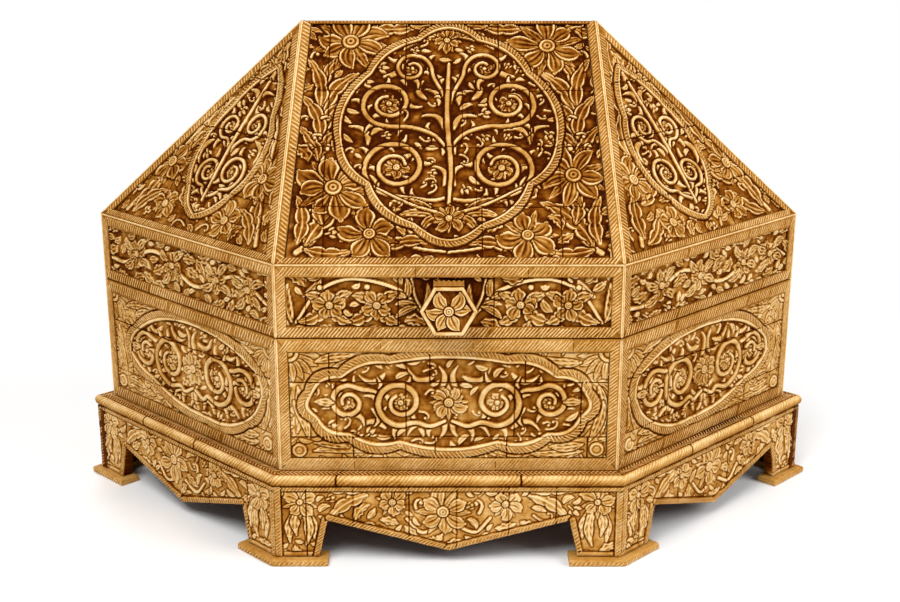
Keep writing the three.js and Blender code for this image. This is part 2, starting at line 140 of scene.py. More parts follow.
class Face:
    """The flat front of a CAD piece, with its own axes and outlines. A lifted one lies over a relief."""

    def __init__(self, node, base=0.0, widest=False, toward=None, lift=0.0):
        points, triangles = merged(node)
        corners = points[triangles]
        cross = np.cross(corners[:, 1] - corners[:, 0], corners[:, 2] - corners[:, 0])
        area = np.linalg.norm(cross, axis=1)
        good = area > 1e-4
        triangles, corners, cross, area = triangles[good], corners[good], cross[good], area[good]
        normals = cross / area[:, None]
        middle = (points.min(0) + points.max(0)) / 2
        outward = normals @ (np.array([middle[0], middle[1], 0.0]) if toward is None else toward) > 1e-3
        if toward is None:
            self.n = normals[outward][area[outward].argmax()]
        else:
            self.n = normals[(normals @ toward).argmax()]
        alike = normals @ self.n > 0.9999
        depth = corners[:, 0] @ self.n
        widest = widest or lift
        level = depth[alike & outward][area[alike & outward].argmax()] if widest else depth[alike].max()
        chosen = triangles[alike & (np.abs(depth - level) < 0.02)]
        self.u = np.cross([0.0, 0.0, 1.0], self.n)
        self.u /= np.linalg.norm(self.u)
        self.v = np.cross(self.n, self.u)
        flat = np.stack([points @ self.u, (points[:, 2] - base) / self.v[2]], 1)
        if lift:
            loops = [without_straight(hull(flat[np.unique(chosen)]))]
        else:
            loops = [without_straight(flat[loop]) for loop in chained(border_edges(len(points), chosen))]
        loops.sort(key=lambda loop: -abs(area_of(loop)))
        shift = (loops[0][:, 0].min() + loops[0][:, 0].max()) / 2
        for loop in loops:
            loop[:, 0] -= shift
        self.outline = loops[0]
        self.holes = [loop[::-1] for loop in loops[1:]]
        on = points[chosen[0, 0]]
        start = on - (on @ self.u - shift) * self.u - (on[2] - base) / self.v[2] * self.v
        self.origin = start + lift * self.n
        self.node = node

    def at(self, u, v, h=0.0):
        """A place on the face, in metres. h is the height over it."""
        u, v, h = np.broadcast_arrays(np.asarray(u, float), v, h)
        place = self.origin + u[..., None] * self.u + v[..., None] * self.v + h[..., None] * self.n
        return place * MM


SIDES = ("front", "front_right", "back_right", "back", "back_left", "front_left")
CARVED_DEPTH = 1.3  # the roof panels' main forms stand this high in the CAD
roof = {side: Face(f"roof_panel_{side}", EAVE, lift=CARVED_DEPTH) for side in SIDES}
roof_edge = {side: Face(f"roof_frame_{side}", EAVE) for side in SIDES}
wall = {side: Face(f"body_panel_{side}") for side in SIDES}
wall_edge = {side: Face(f"body_frame_{side}") for side in SIDES}
band = {side: Face(f"lid_band_{side}") for side in SIDES}
apron = {side: Face(f"apron_{side}") for side in SIDES}
for name, face in (("roof", roof["front"]), ("band", band["front"]), ("apron", apron["front"])):
    print("The front", name, "is", np.ptp(face.outline, 0).round(1), "mm with", len(face.outline), "corners")

# %% [markdown]
# ## A mesh from parts
#
# Every piece is gathered from many small parts before Blender sees it. Each point also carries two
# numbers for the finish: its stain, which is how much dark colour has settled there, together with
# painted shade in hollows and cuts and painted highlight on rims, and its tone, because no two plates
# of bone are quite the same colour.

# %% Shapes
class Shape:
    """Parts that gather into one mesh, with a stain and a tone on every point."""

    def __init__(self):
        self.points, self.faces, self.stains, self.tones, self.smooth = [], [], [], [], []
        self.count = 0

    def add(self, points, faces, stain, tone=0.0, smooth=False):
        points = np.asarray(points, float).reshape(-1, 3)
        size = len(points)
        self.points.append(points)
        self.faces += [[corner + self.count for corner in face] for face in faces]
        self.stains.append(np.broadcast_to(np.asarray(stain, float), size))
        self.tones.append(np.broadcast_to(np.asarray(tone, float), size))
        self.smooth += list(smooth) if isinstance(smooth, (list, np.ndarray)) else [smooth] * len(faces)
        self.count += size

    def mesh(self, name):
        mesh = bpy.data.meshes.new(name)
        mesh.from_pydata(np.concatenate(self.points).tolist(), [], self.faces)
        for label, values in (("stain", self.stains), ("tone", self.tones)):
            layer = mesh.attributes.new(label, "FLOAT", "POINT")
            layer.data.foreach_set("value", np.concatenate(values).astype(np.float32))
        mesh.polygons.foreach_set("use_smooth", np.array(self.smooth, bool))
        mesh.update()
        return mesh


def new_piece(name, mesh, body, replaced, finish):
    """One finished piece of the casket: it moves with a body and stands for CAD pieces."""
    piece = bpy.data.objects.new(name, mesh)
    bpy.context.scene.collection.objects.link(piece)
    mesh.materials.append(finish)
    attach(piece, body)
    if replaced:
        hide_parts(*replaced)


# %% Outlines
def drawn_in(outline, widths):
    """An outline moved inwards, each edge by its own width."""
    widths = np.broadcast_to(widths, len(outline))
    way = np.roll(outline, -1, 0) - outline
    way /= np.linalg.norm(way, axis=1)[:, None]
    inward = np.stack([-way[:, 1], way[:, 0]], 1)
    start = outline + inward * widths[:, None]
    moved = []
    for i in range(len(outline)):
        a, b = start[i - 1], way[i - 1]
        c, d = start[i], way[i]
        t = ((c - a)[0] * d[1] - (c - a)[1] * d[0]) / (b[0] * d[1] - b[1] * d[0])
        moved.append(a + b * t)
    return np.array(moved)


def plate(shape, face, corners, low, high, bevel=0.2, stain=0.2, edge_stain=0.9, tone=0.0):
    """A flat plate with its top edges eased, drawn as a convex outline on a face."""
    corners = np.asarray(corners, float)
    count = len(corners)
    if area_of(corners) < 0:
        corners = corners[::-1]
    inner = drawn_in(corners, bevel)
    rings = [(corners, low), (corners, high - bevel), (inner, high)]
    points = np.concatenate([face.at(ring[:, 0], ring[:, 1], level) for ring, level in rings])
    faces = [list(range(count))[::-1], [2 * count + i for i in range(count)]]
    for ring in (0, count):
        faces += [[ring + i, ring + (i + 1) % count, ring + count + (i + 1) % count, ring + count + i]
                  for i in range(count)]
    shade = np.repeat([edge_stain, edge_stain * 0.6, stain], count)
    shape.add(points, faces, shade, tone)


# %% [markdown]
# ## Carving on a grid
#
# A relief like this one is a landscape: flat ground, and leaves and flowers standing on it with
# rounded tops and steep sides. It could be sculpted by hand or boolean-cut, but a height on a fine
# grid is closer to how a carver works. Each motif is a path with a width. A brush runs along it,
# cuts a dark moat round it, and leaves a profile standing: round for a stem, rimmed for a leaf.
# The edges are blended over half a millimetre, so a curve stays smooth on a square grid.

# %% The grid and the brush
def box_blur(values, cells):
    """A soft average over a square of cells, done twice so that it looks round."""
    size = 2 * cells + 1
    for axis in (0, 1, 0, 1):
        pad = [(0, 0), (0, 0)]
        pad[axis] = (cells + 1, cells)
        total = np.cumsum(np.pad(values, pad, mode="edge"), axis=axis)
        ahead = np.take(total, np.arange(size, total.shape[axis]), axis=axis)
        behind = np.take(total, np.arange(0, total.shape[axis] - size), axis=axis)
        values = (ahead - behind) / size
    return values


def smooth_step(low, high, value):
    share = np.clip((value - low) / (high - low), 0, 1)
    return share * share * (3 - 2 * share)


def ridge(offset, width):
    """1 where the offset is 0, falling softly on both sides."""
    return np.exp(-(offset / width) ** 2)


def rim_of(q, low, high, drop=0.2):
    """A raised edge, for shares q of a motif's half width. It drops a little at its very outside."""
    return smooth_step(low, high, q) * (1 - drop * smooth_step(0.94, 1, q))


def along(places, path):
    """For each place: its distance from a path, its share of the way along it, and its side."""
    start, end = path[:-1], path[1:]
    run = end - start
    length = np.maximum(np.linalg.norm(run, axis=1), 1e-9)
    reach = places[:, None, :] - start[None]
    share = np.clip((reach * run[None]).sum(2) / length**2, 0, 1)
    gap = reach - share[..., None] * run[None]
    distance = np.hypot(gap[..., 0], gap[..., 1])
    nearest = distance.argmin(1)
    row = np.arange(len(places))
    before = np.concatenate([[0], np.cumsum(length)[:-1]])
    travelled = (before[nearest] + share[row, nearest] * length[nearest]) / length.sum()
    side = np.sign(run[nearest, 0] * reach[row, nearest, 1] - run[nearest, 1] * reach[row, nearest, 0])
    return distance[row, nearest], travelled, side


class Carving:
    """A height map on a face: 0 is the ground, and 1 is the top of the relief."""

    soft = 0.5  # how far an edge blends, in mm
    hollow = 0.44  # how high a leaf or petal stands between its rims
    ditch = 0.0  # how deep the moat round a motif is cut

    def __init__(self, face, step, seed):
        self.face = face
        low, high = face.outline.min(0), face.outline.max(0)
        across, up = np.ceil((high - low) / step).astype(int)
        self.us = np.linspace(low[0], high[0], across + 1)
        self.vs = np.linspace(low[1], high[1], up + 1)
        self.step = step
        self.u, self.v = np.meshgrid(self.us, self.vs)
        self.top = np.zeros(self.u.shape)
        self.stained = np.zeros(self.u.shape)
        self.tone = np.zeros(self.u.shape)
        self.busy = np.zeros(self.u.shape, bool)
        self.random = np.random.default_rng(seed)

    def window(self, low, high):
        columns = np.searchsorted(self.us, [low[0], high[0]])
        rows = np.searchsorted(self.vs, [low[1], high[1]])
        return slice(rows[0], rows[1]), slice(columns[0], columns[1])

    def mark(self, path, width, profile, moat=0.7, stain=0.0):
        """Raises a profile along a path, and cuts the ground low round it."""
        path = np.asarray(path, float).reshape(-1, 2)
        if len(path) == 1:
            path = np.concatenate([path, path + [[1e-4, 0]]])
        widths = width(np.linspace(0, 1, 9)) if callable(width) else np.array([width])
        reach = float(np.max(widths)) + moat + self.soft
        view = self.window(path.min(0) - reach, path.max(0) + reach)
        u, v = self.u[view], self.v[view]
        if u.size == 0:
            return
        distance, share, side = along(np.stack([u.ravel(), v.ravel()], 1), path)
        wide = width(share) if callable(width) else np.full(share.shape, float(width))
        cover = np.clip((wide - distance) / self.soft + 0.5, 0, 1).reshape(u.shape)
        cut = np.clip((wide + moat - distance) / self.soft + 0.5, 0, 1).reshape(u.shape)
        raised = profile(np.minimum(distance / wide, 1), share, side, distance).reshape(u.shape)
        top = self.top[view]
        top = top + cut * (np.minimum(top, self.ditch) - top)
        self.top[view] = top + cover * (raised - top)
        tint = stain(side).reshape(u.shape) if callable(stain) else stain
        self.stained[view] = self.stained[view] * (1 - cover) + cover * tint
        self.busy[view] |= cut > 0.6

    def clear(self, inside):
        """Takes a region back to bare ground."""
        self.top[inside] = 0
        self.stained[inside] = 0
        self.busy[inside] = False

    def is_free(self, places):
        columns = np.clip(((places[:, 0] - self.us[0]) / (self.us[1] - self.us[0])).round().astype(int),
                          0, len(self.us) - 1)
        rows = np.clip(((places[:, 1] - self.vs[0]) / (self.vs[1] - self.vs[0])).round().astype(int),
                       0, len(self.vs) - 1)
        return not self.busy[rows, columns].any()


# %% [markdown]
# ## The carver's motifs
#
# The whole casket uses a small set of forms, as its carver's patterns would: a stem, a long leaf
# with a rim and a midrib, a petal, a domed flower heart with a ring and a dot, a curl, and a berry.
# Drawing them as functions keeps them alike on all six sides, while the seeded random numbers keep
# any two from being the same.

# %% Paths
CURVE_STEPS, SPIRAL_STEPS = 9, 26
COIL_TAIL = 0.3  # the inner end of a coil, as a share of its radius


def arc(a, b, rise, count=13):
    """A round stretch from a to b that stands out to the left of the way by rise."""
    a, b = np.asarray(a, float), np.asarray(b, float)
    chord = b - a
    left = np.array([-chord[1], chord[0]]) / max(np.hypot(*chord), 1e-9)
    share = np.linspace(0, 1, count)[:, None]
    return a + chord * share + left * rise * 4 * share * (1 - share)


def curve(*places):
    """A smooth path through given places."""
    p = np.asarray(places, float)
    p = np.concatenate([[2 * p[0] - p[1]], p, [2 * p[-1] - p[-2]]])
    t = np.linspace(0, 1, CURVE_STEPS, endpoint=False)[:, None]
    parts = [0.5 * (2 * p[i] + (p[i + 1] - p[i - 1]) * t
                    + (2 * p[i - 1] - 5 * p[i] + 4 * p[i + 1] - p[i + 2]) * t**2
                    + (3 * p[i] - p[i - 1] - 3 * p[i + 1] + p[i + 2]) * t**3)
             for i in range(1, len(p) - 2)]
    return np.concatenate([*parts, p[-2:-1]])


def coil(centre, radius, start, turns, hand):
    """Places that wind inwards round a centre, from an angle in degrees."""
    share = np.linspace(0, 1, int(9 * turns) + 2)[:, None]
    angle = math.radians(start) + hand * 2 * math.pi * turns * share
    reach = radius * (1 - (1 - COIL_TAIL) * share)
    wound = np.asarray(centre) + reach * np.hstack([np.cos(angle), np.sin(angle)])
    return [tuple(place) for place in wound]


def spiral(at, way, size, bend):
    """A path that leaves a place in one direction and winds up more and more."""
    share = np.linspace(0, 1, SPIRAL_STEPS)
    turn = way + bend * share**1.6
    step = size * (1.25 - share) / SPIRAL_STEPS * 1.6
    run = np.cumsum(np.stack([np.cos(turn), np.sin(turn)], 1) * step[:, None], 0)
    return np.asarray(at, float) + np.concatenate([[[0, 0]], run])


# %% Motifs
STRAP_STAIN = 0.13
CORE_SHARE = 0.24  # a flower's heart, as a share of the flower


def heading_of(way):
    return np.array([math.cos(way), math.sin(way)])


def round_top(level):
    return lambda q, share, side, distance: level * (0.62 + 0.38 * np.sqrt(1 - q * q))


def flat_top(level):
    return lambda q, share, side, distance: level * (1 - 0.36 * q**2.5)


def stem(c, path, start=1.0, end=0.6, level=0.85):
    c.mark(path, lambda share: start + (end - start) * share, round_top(level))


def stroke(c, path, wide, thin):
    """A scroll's strap: flat on top, full in the middle and thin at its ends."""
    c.mark(path, lambda share: thin + (wide - thin) * np.sin(np.pi * np.clip(share, 0.02, 0.98)) ** 0.45,
           flat_top(1), moat=0.9, stain=STRAP_STAIN)


def leaf(c, base, tip, wide, bend=0.12, lobes=0, level=1.0):
    """A leaf with a raised rim, hollow halves and a midrib. A small one has only a groove."""
    base, tip = np.asarray(base, float), np.asarray(tip, float)
    length = np.hypot(*(tip - base))
    lean = 0.15 * c.random.uniform(-1, 1)

    def width(share):
        body = np.sin(np.pi * np.clip(share, 0.01, 0.99) ** (0.85 + lean)) ** 0.8
        return 0.25 + wide * body * (1 + 0.2 * np.sin(2 * np.pi * lobes * share) * (lobes > 0))

    def profile(q, share, side, distance):
        rim = rim_of(q, 0.58, 0.88)
        rib = ridge(distance, 0.4) * (1 - 0.5 * share)
        veined = smooth_step(0.15, 0.4, q) * smooth_step(0.95, 0.7, q) * (wide > 1.9)
        vein = 0.17 * np.sin(length * 1.5 * share - 4 * q) * veined
        return level * np.clip(c.hollow + (1 - c.hollow) * rim + 0.45 * rib + vein, 0, 1)

    def small(q, share, side, distance):
        return level * (0.98 - 0.1 * q**2 - 0.3 * ridge(distance, 0.3))

    c.mark(arc(base, tip, bend * length), width, profile if wide > 1.4 else small)


def frond(c, base, tip, wide, bend, lobes=3):
    """A broad leaf cut into a few lobes, each with a vein that leans forwards from the midrib."""
    base, tip = np.asarray(base, float), np.asarray(tip, float)
    length = np.hypot(*(tip - base))
    skew = 0.6 * wide * lobes / length

    def width(share):
        body = np.sin(np.pi * np.clip(share, 0.01, 0.99) ** 0.75) ** 0.75
        notch = np.abs(np.sin(np.pi * (lobes * share - skew))) ** 0.6
        return 0.3 + wide * body * (0.55 + 0.45 * notch)

    def profile(q, share, side, distance):
        between = (1 - np.abs(np.sin(np.pi * (lobes * share - skew * q)))) ** 4
        rim = rim_of(q, 0.62, 0.86)
        rib = ridge(distance, 0.45) * (1 - 0.4 * share)
        cut = 0.25 * between * smooth_step(0.1, 0.4, q)
        return 0.97 * np.clip(c.hollow + (1 - c.hollow) * rim + 0.45 * rib - cut, 0, 1)

    c.mark(arc(base, tip, bend * length, 25), width, profile)


def palmette(c, base, tip, wide, bend):
    """Half of a split leaf: smooth like a strap, full at its foot and drawn out to a curved tip."""
    base, tip = np.asarray(base, float), np.asarray(tip, float)

    def width(share):
        return 0.3 + wide * np.sin(np.pi * np.clip(share, 0.02, 0.99) ** 0.6) ** 0.9

    c.mark(arc(base, tip, bend * np.hypot(*(tip - base))), width, flat_top(0.97), moat=0.8, stain=STRAP_STAIN)


def petal(c, centre, way, near, far, wide, round_end):
    """A petal with a rolled rim and a cut down its middle, and with a round end or a pointed one."""
    heading = heading_of(way)
    power, fullness = (1.5, 0.62) if round_end else (0.95, 0.85)
    path = arc(centre + heading * near, centre + heading * far, c.random.uniform(-0.17, 0.17) * far)

    def width(share):
        return 0.3 + wide * np.sin(np.pi * np.clip(share, 0.01, 0.985) ** power) ** fullness

    def profile(q, share, side, distance):
        rim = rim_of(q, 0.62, 0.9, 0.3)
        cut = ridge(distance, 0.36) * smooth_step(0.95, 0.6, share)
        fan = 0.12 * np.cos(q * 10 + 2 * side) * smooth_step(1, 0.5, share)
        return np.clip(c.hollow + (1 - c.hollow) * rim * (0.5 + 0.5 * share) - 0.3 * cut + fan, 0, 1)

    c.mark(path, width, profile, moat=0.55)


def heart(c, centre, radius):
    """The middle of a flower: a dome with a ring round a dot."""
    def profile(q, share, side, distance):
        groove = ridge(q - 0.56, 0.13)
        dot = ridge(distance, 0.16 * radius)
        return np.clip(1 - 0.2 * q**4 - 0.42 * groove - 0.75 * dot, 0, 1)

    c.mark([centre], radius, profile, moat=0.6)


def flower(c, centre, radius, petals, turn, wide=None, core=None, round_end=True, sepals=True):
    centre = np.asarray(centre, float)
    core = core or radius * CORE_SHARE
    wide = wide or radius * 2.2 / petals
    for i in range(petals if sepals else 0):
        tip = centre + radius * 1.08 * heading_of(turn + 2 * math.pi * (i + 0.5) / petals)
        leaf(c, centre, tip, radius * 0.14, 0, level=0.7)
    for i in range(petals):
        way = turn + 2 * math.pi * i / petals + c.random.uniform(-0.16, 0.16)
        far = radius * c.random.uniform(0.82, 1.15)
        petal(c, centre, way, core * 0.7, far, wide * c.random.uniform(0.78, 1.06), round_end)
    heart(c, centre, core)


def berry(c, at, radius, level=1.0):
    c.mark([at], radius, lambda q, share, side, distance: level * (0.7 + 0.3 * np.sqrt(1 - q * q)), moat=0.5)


def curl(c, at, way, size, hand, wide=0.8, level=0.95):
    """A stalk that winds up into a bead."""
    path = spiral(at, way, size, hand * 4.6)
    c.mark(path, lambda share: wide * (1 - 0.45 * share), round_top(level))
    berry(c, path[-1], wide * 1.25, level)


def bud(c, at, way, size):
    """A pointed bud between two curls."""
    heading = heading_of(way)
    for hand in (-1, 1):
        curl(c, at, way + hand * 0.9, size * 0.75, hand, size * 0.13)
    leaf(c, at - heading * size * 0.1, at + heading * size, size * 0.27, 0)


def sprig(c, at, way, size):
    """Three small leaves on a short stalk."""
    fork = at + heading_of(way) * size * 0.4
    for turn in (-0.85, 0.85, 0):
        leaf(c, fork, fork + size * 0.6 * heading_of(way + turn), size * 0.13, 0.2 * turn, level=0.9)
    stem(c, [at, fork], 0.45, 0.4, 0.9)


TRIES = 900  # how often each size of leaf is tried on the bare ground


def sprinkle(c, where, longest, widest, way=None, leafy=0.5, shares=(1, 0.7, 0.45)):
    """Leaves, sprigs and curls in the bare ground that is left: large ones first, then smaller ones."""
    for share in shares:
        rows, columns = np.nonzero(where & ~c.busy)
        for pick in c.random.integers(0, len(rows), TRIES if len(rows) else 0):
            at = np.array([c.us[columns[pick]], c.vs[rows[pick]]])
            kind = c.random.uniform()
            length = longest * share * c.random.uniform(0.75, 1)
            wide = widest * share if kind < leafy else length * 0.32
            heading = (way(at) if way else 0) + c.random.uniform(-1.1, 1.1)
            ahead = heading_of(heading)
            aside = np.array([-ahead[1], ahead[0]])
            spots = [at + ahead * length * t + aside * wide * s
                     for t in (0, 0.3, 0.6, 0.9) for s in (-1, 0, 1)]
            if not c.is_free(np.array(spots)):
                continue
            if kind < leafy:
                bend = c.random.uniform(-0.25, 0.25)
                leaf(c, at, at + ahead * length, wide, bend, 3 * (wide > 2), level=0.85)
            elif kind < leafy + 0.25:
                sprig(c, at, heading, length)
            else:
                curl(c, at, heading, length * 1.15, c.random.choice([-1, 1]), 0.6, 0.85)


# %% Half a design
class Half:
    """One half of a mirrored design. x runs outwards from the middle line."""

    def __init__(self, sign, random, slack=0.5, middle=0.0):
        self.sign, self.random, self.slack, self.middle = sign, random, slack, middle

    def at(self, x, y):
        shift = self.random.uniform(-self.slack, self.slack, 2)
        return np.array([self.middle + self.sign * x + shift[0], y + shift[1]])

    def path(self, *places):
        """A smooth path, moved a little as a whole and hardly at all at each place."""
        shift = self.random.uniform(-self.slack, self.slack, 2)
        return curve(*[(self.middle + self.sign * x, y) + shift + self.random.uniform(-0.12, 0.12, 2)
                       for x, y in places])

    def way(self, degrees):
        angle = math.radians(degrees)
        return angle if self.sign > 0 else math.pi - angle

    def leaves(self, c, base, tips, wide, bend=0.12, **more):
        for x, y in tips:
            leaf(c, self.at(*base), self.at(x, y), wide, bend * self.sign, **more)


def halves(c, slack=0.5, middle=0.0):
    return [Half(sign, c.random, slack, middle) for sign in (-1, 1)]


# %% [markdown]
# ## From the grid to bone
#
# The grid's points are pulled onto the plate's outline where they fall outside it, so the edge is
# straight although the grid is square. Walls and a flat back close the plate. The stain comes from
# the height map itself: it gathers in hollows and in the narrow cuts, where it also paints their
# shade, and it is rubbed off the rims, which it also paints pale as a highlight.

# %% Carved plates
def edge_distance(places, outline):
    """Distance inside an outline, negative outside it, and the nearest place on it."""
    best = np.full(len(places), np.inf)
    nearest = np.zeros_like(places)
    inside = np.zeros(len(places), bool)
    for a, b in zip(outline, np.roll(outline, -1, 0)):
        run = b - a
        share = np.clip(((places - a) @ run) / (run @ run), 0, 1)
        foot = a + share[:, None] * run
        gap = np.linalg.norm(places - foot, axis=1)
        closer = gap < best
        best[closer], nearest[closer] = gap[closer], foot[closer]
        crosses = (a[1] > places[:, 1]) != (b[1] > places[:, 1])
        with np.errstate(divide="ignore", invalid="ignore"):
            meets = a[0] + (places[:, 1] - a[1]) / (b[1] - a[1]) * (b[0] - a[0])
        inside ^= crosses & (places[:, 0] < meets)
    return np.where(inside | (best < 1e-6), best, -best), nearest


def grid_faces(shape, keep, within):
    """Cells of a grid as squares, or as triangles where one corner is left out."""
    rows, columns = shape
    number = np.arange(rows * columns).reshape(shape)
    a, b = number[:-1, :-1].ravel(), number[:-1, 1:].ravel()
    c, d = number[1:, 1:].ravel(), number[1:, :-1].ravel()
    cells = np.stack([a, b, c, d], 1)
    whole = keep[cells].all(1) & within[cells].any(1)
    triangles = []
    for corners in ([0, 1, 2], [1, 2, 3], [2, 3, 0], [3, 0, 1]):
        part = cells[:, corners]
        left = [i for i in range(4) if i not in corners][0]
        fits = keep[part].all(1) & ~keep[cells[:, left]] & within[part].any(1)
        triangles.append(part[fits])
    return cells[whole], np.concatenate(triangles)


STAIN_AND_SHADE = {  # stain on a top and on open ground, then what a hollow and a narrow cut add as painted shade
    "roof": (0.54, 0.79, 0.66, 0.85), "slope": (0.48, 0.68, 0.64, 0.9), "band": (0.44, 0.56, 0.6, 0.9),
    "wall": (0.34, 0.53, 0.46, 0.6), "apron": (0.33, 0.52, 0.5, 0.75), "rosette": (0.3, 0.7, 0.5, 0.8),
}


def carved(shape, c, ground, high, back, area, outline=None, seams=(), tones=None):
    """Turns a carving into a closed plate: ground, high and back are heights over the face."""
    on_top, on_ground, hollow_shade, cut_shade = STAIN_AND_SHADE[area]
    face = c.face
    outline = face.outline if outline is None else outline
    places = np.stack([c.u.ravel(), c.v.ravel()], 1)
    distance, nearest = edge_distance(places, outline)
    outside = distance < 0
    keep = distance > -c.step * 1.02
    places[outside] = nearest[outside]
    squares, triangles = grid_faces(c.u.shape, keep, distance > 1e-6)
    used = np.zeros(len(places), bool)
    used[squares.ravel()] = True
    used[triangles.ravel()] = True
    number = np.cumsum(used) - 1
    squares, triangles = number[squares], number[triangles]
    places = places[used]

    fine, coarse = (box_blur(c.random.normal(size=c.u.shape), cells) for cells in (1, 3))
    fine, coarse = fine / fine.std(), coarse / coarse.std()
    grain = fine * 0.03 + coarse * 0.075
    top = np.clip(c.top + grain * (1.2 - c.top), 0, 1)
    # The hollow and cut terms darken hollows and narrow cuts as painted shade, and lighten rims that stand
    # over their surroundings as a painted highlight; open ground is darker than the tops as stain and painted
    # shade together.
    wide_hollow = box_blur(top, max(1, round(1.6 / c.step))) - top
    cut = box_blur(top, 1) - top
    stain = on_top + (on_ground - on_top) * (1 - top) ** 1.3 + hollow_shade * wide_hollow + cut_shade * cut
    stain = stain + c.stained + coarse * (0.09 * (1 - top) + 0.03)
    for seam in seams:
        near, _, _ = along(np.stack([c.u.ravel(), c.v.ravel()], 1), np.asarray(seam, float))
        line = np.clip(1.25 - near / (0.5 * c.step), 0, 1).reshape(c.u.shape)
        top = top * (1 - 0.6 * line)
        stain = stain + 0.9 * line
    height = (ground + (high - ground) * top).ravel()[used]
    stain = np.clip(stain, 0, 1.15).ravel()[used]
    tone = (c.tone if tones is None else tones).ravel()[used]

    border = border_edges(len(places), squares, triangles)
    rim = np.unique(border)
    below = np.full(len(places), -1)
    below[rim] = np.arange(len(rim)) + len(places)
    points = np.concatenate([
        face.at(places[:, 0], places[:, 1], height),
        face.at(places[rim, 0], places[rim, 1], back),
    ])
    faces = squares.tolist() + triangles.tolist()
    smooth = [True] * len(faces)
    faces += [[int(b), int(a), int(below[a]), int(below[b])] for a, b in border]
    smooth += [False] * len(border)
    for loop in chained(border):
        faces.append([int(below[corner]) for corner in loop][::-1])
        smooth.append(False)
    stains = np.concatenate([stain, np.full(len(rim), 0.9)])
    tone = np.concatenate([tone, np.zeros(len(rim))])
    shape.add(points, faces, stains, tone, smooth)


def plates_of(c, rows, step, seed):
    """Bone comes in plates about 30 mm wide: rows of them, with seams that miss each other."""
    random = np.random.default_rng(seed)
    low, high = c.face.outline.min(0), c.face.outline.max(0)
    levels = [low[1] - 1, *rows, high[1] + 1]
    seams = [[(low[0] - 1, level), (high[0] + 1, level)] for level in rows]
    tones = np.zeros(c.u.shape)
    for i, (bottom, top) in enumerate(zip(levels[:-1], levels[1:])):
        place = low[0] - step * random.uniform(0.2, 0.9)
        while place < high[0]:
            end = place + step * random.uniform(0.75, 1.25)
            mine = (c.v >= bottom) & (c.v < top) & (c.u >= place) & (c.u < end)
            tones[mine] = random.uniform(-1, 1)
            seams.append([(end, bottom), (end, top)])
            place = end
    return seams, tones


# %% [markdown]
# ## Hatching: ribs that follow a path
#
# Each strip of bone is cut with close slanting lines, and the frames round the carving are hatched
# like rope. That is thousands of small ribs, all alike, so Geometry Nodes lay them. The tree turns
# a line into a curve, puts a point on it at every pitch, and sets one rib on each point, turned to
# the line's direction and to the face that it lies on. A seeded random size keeps them hand-cut.

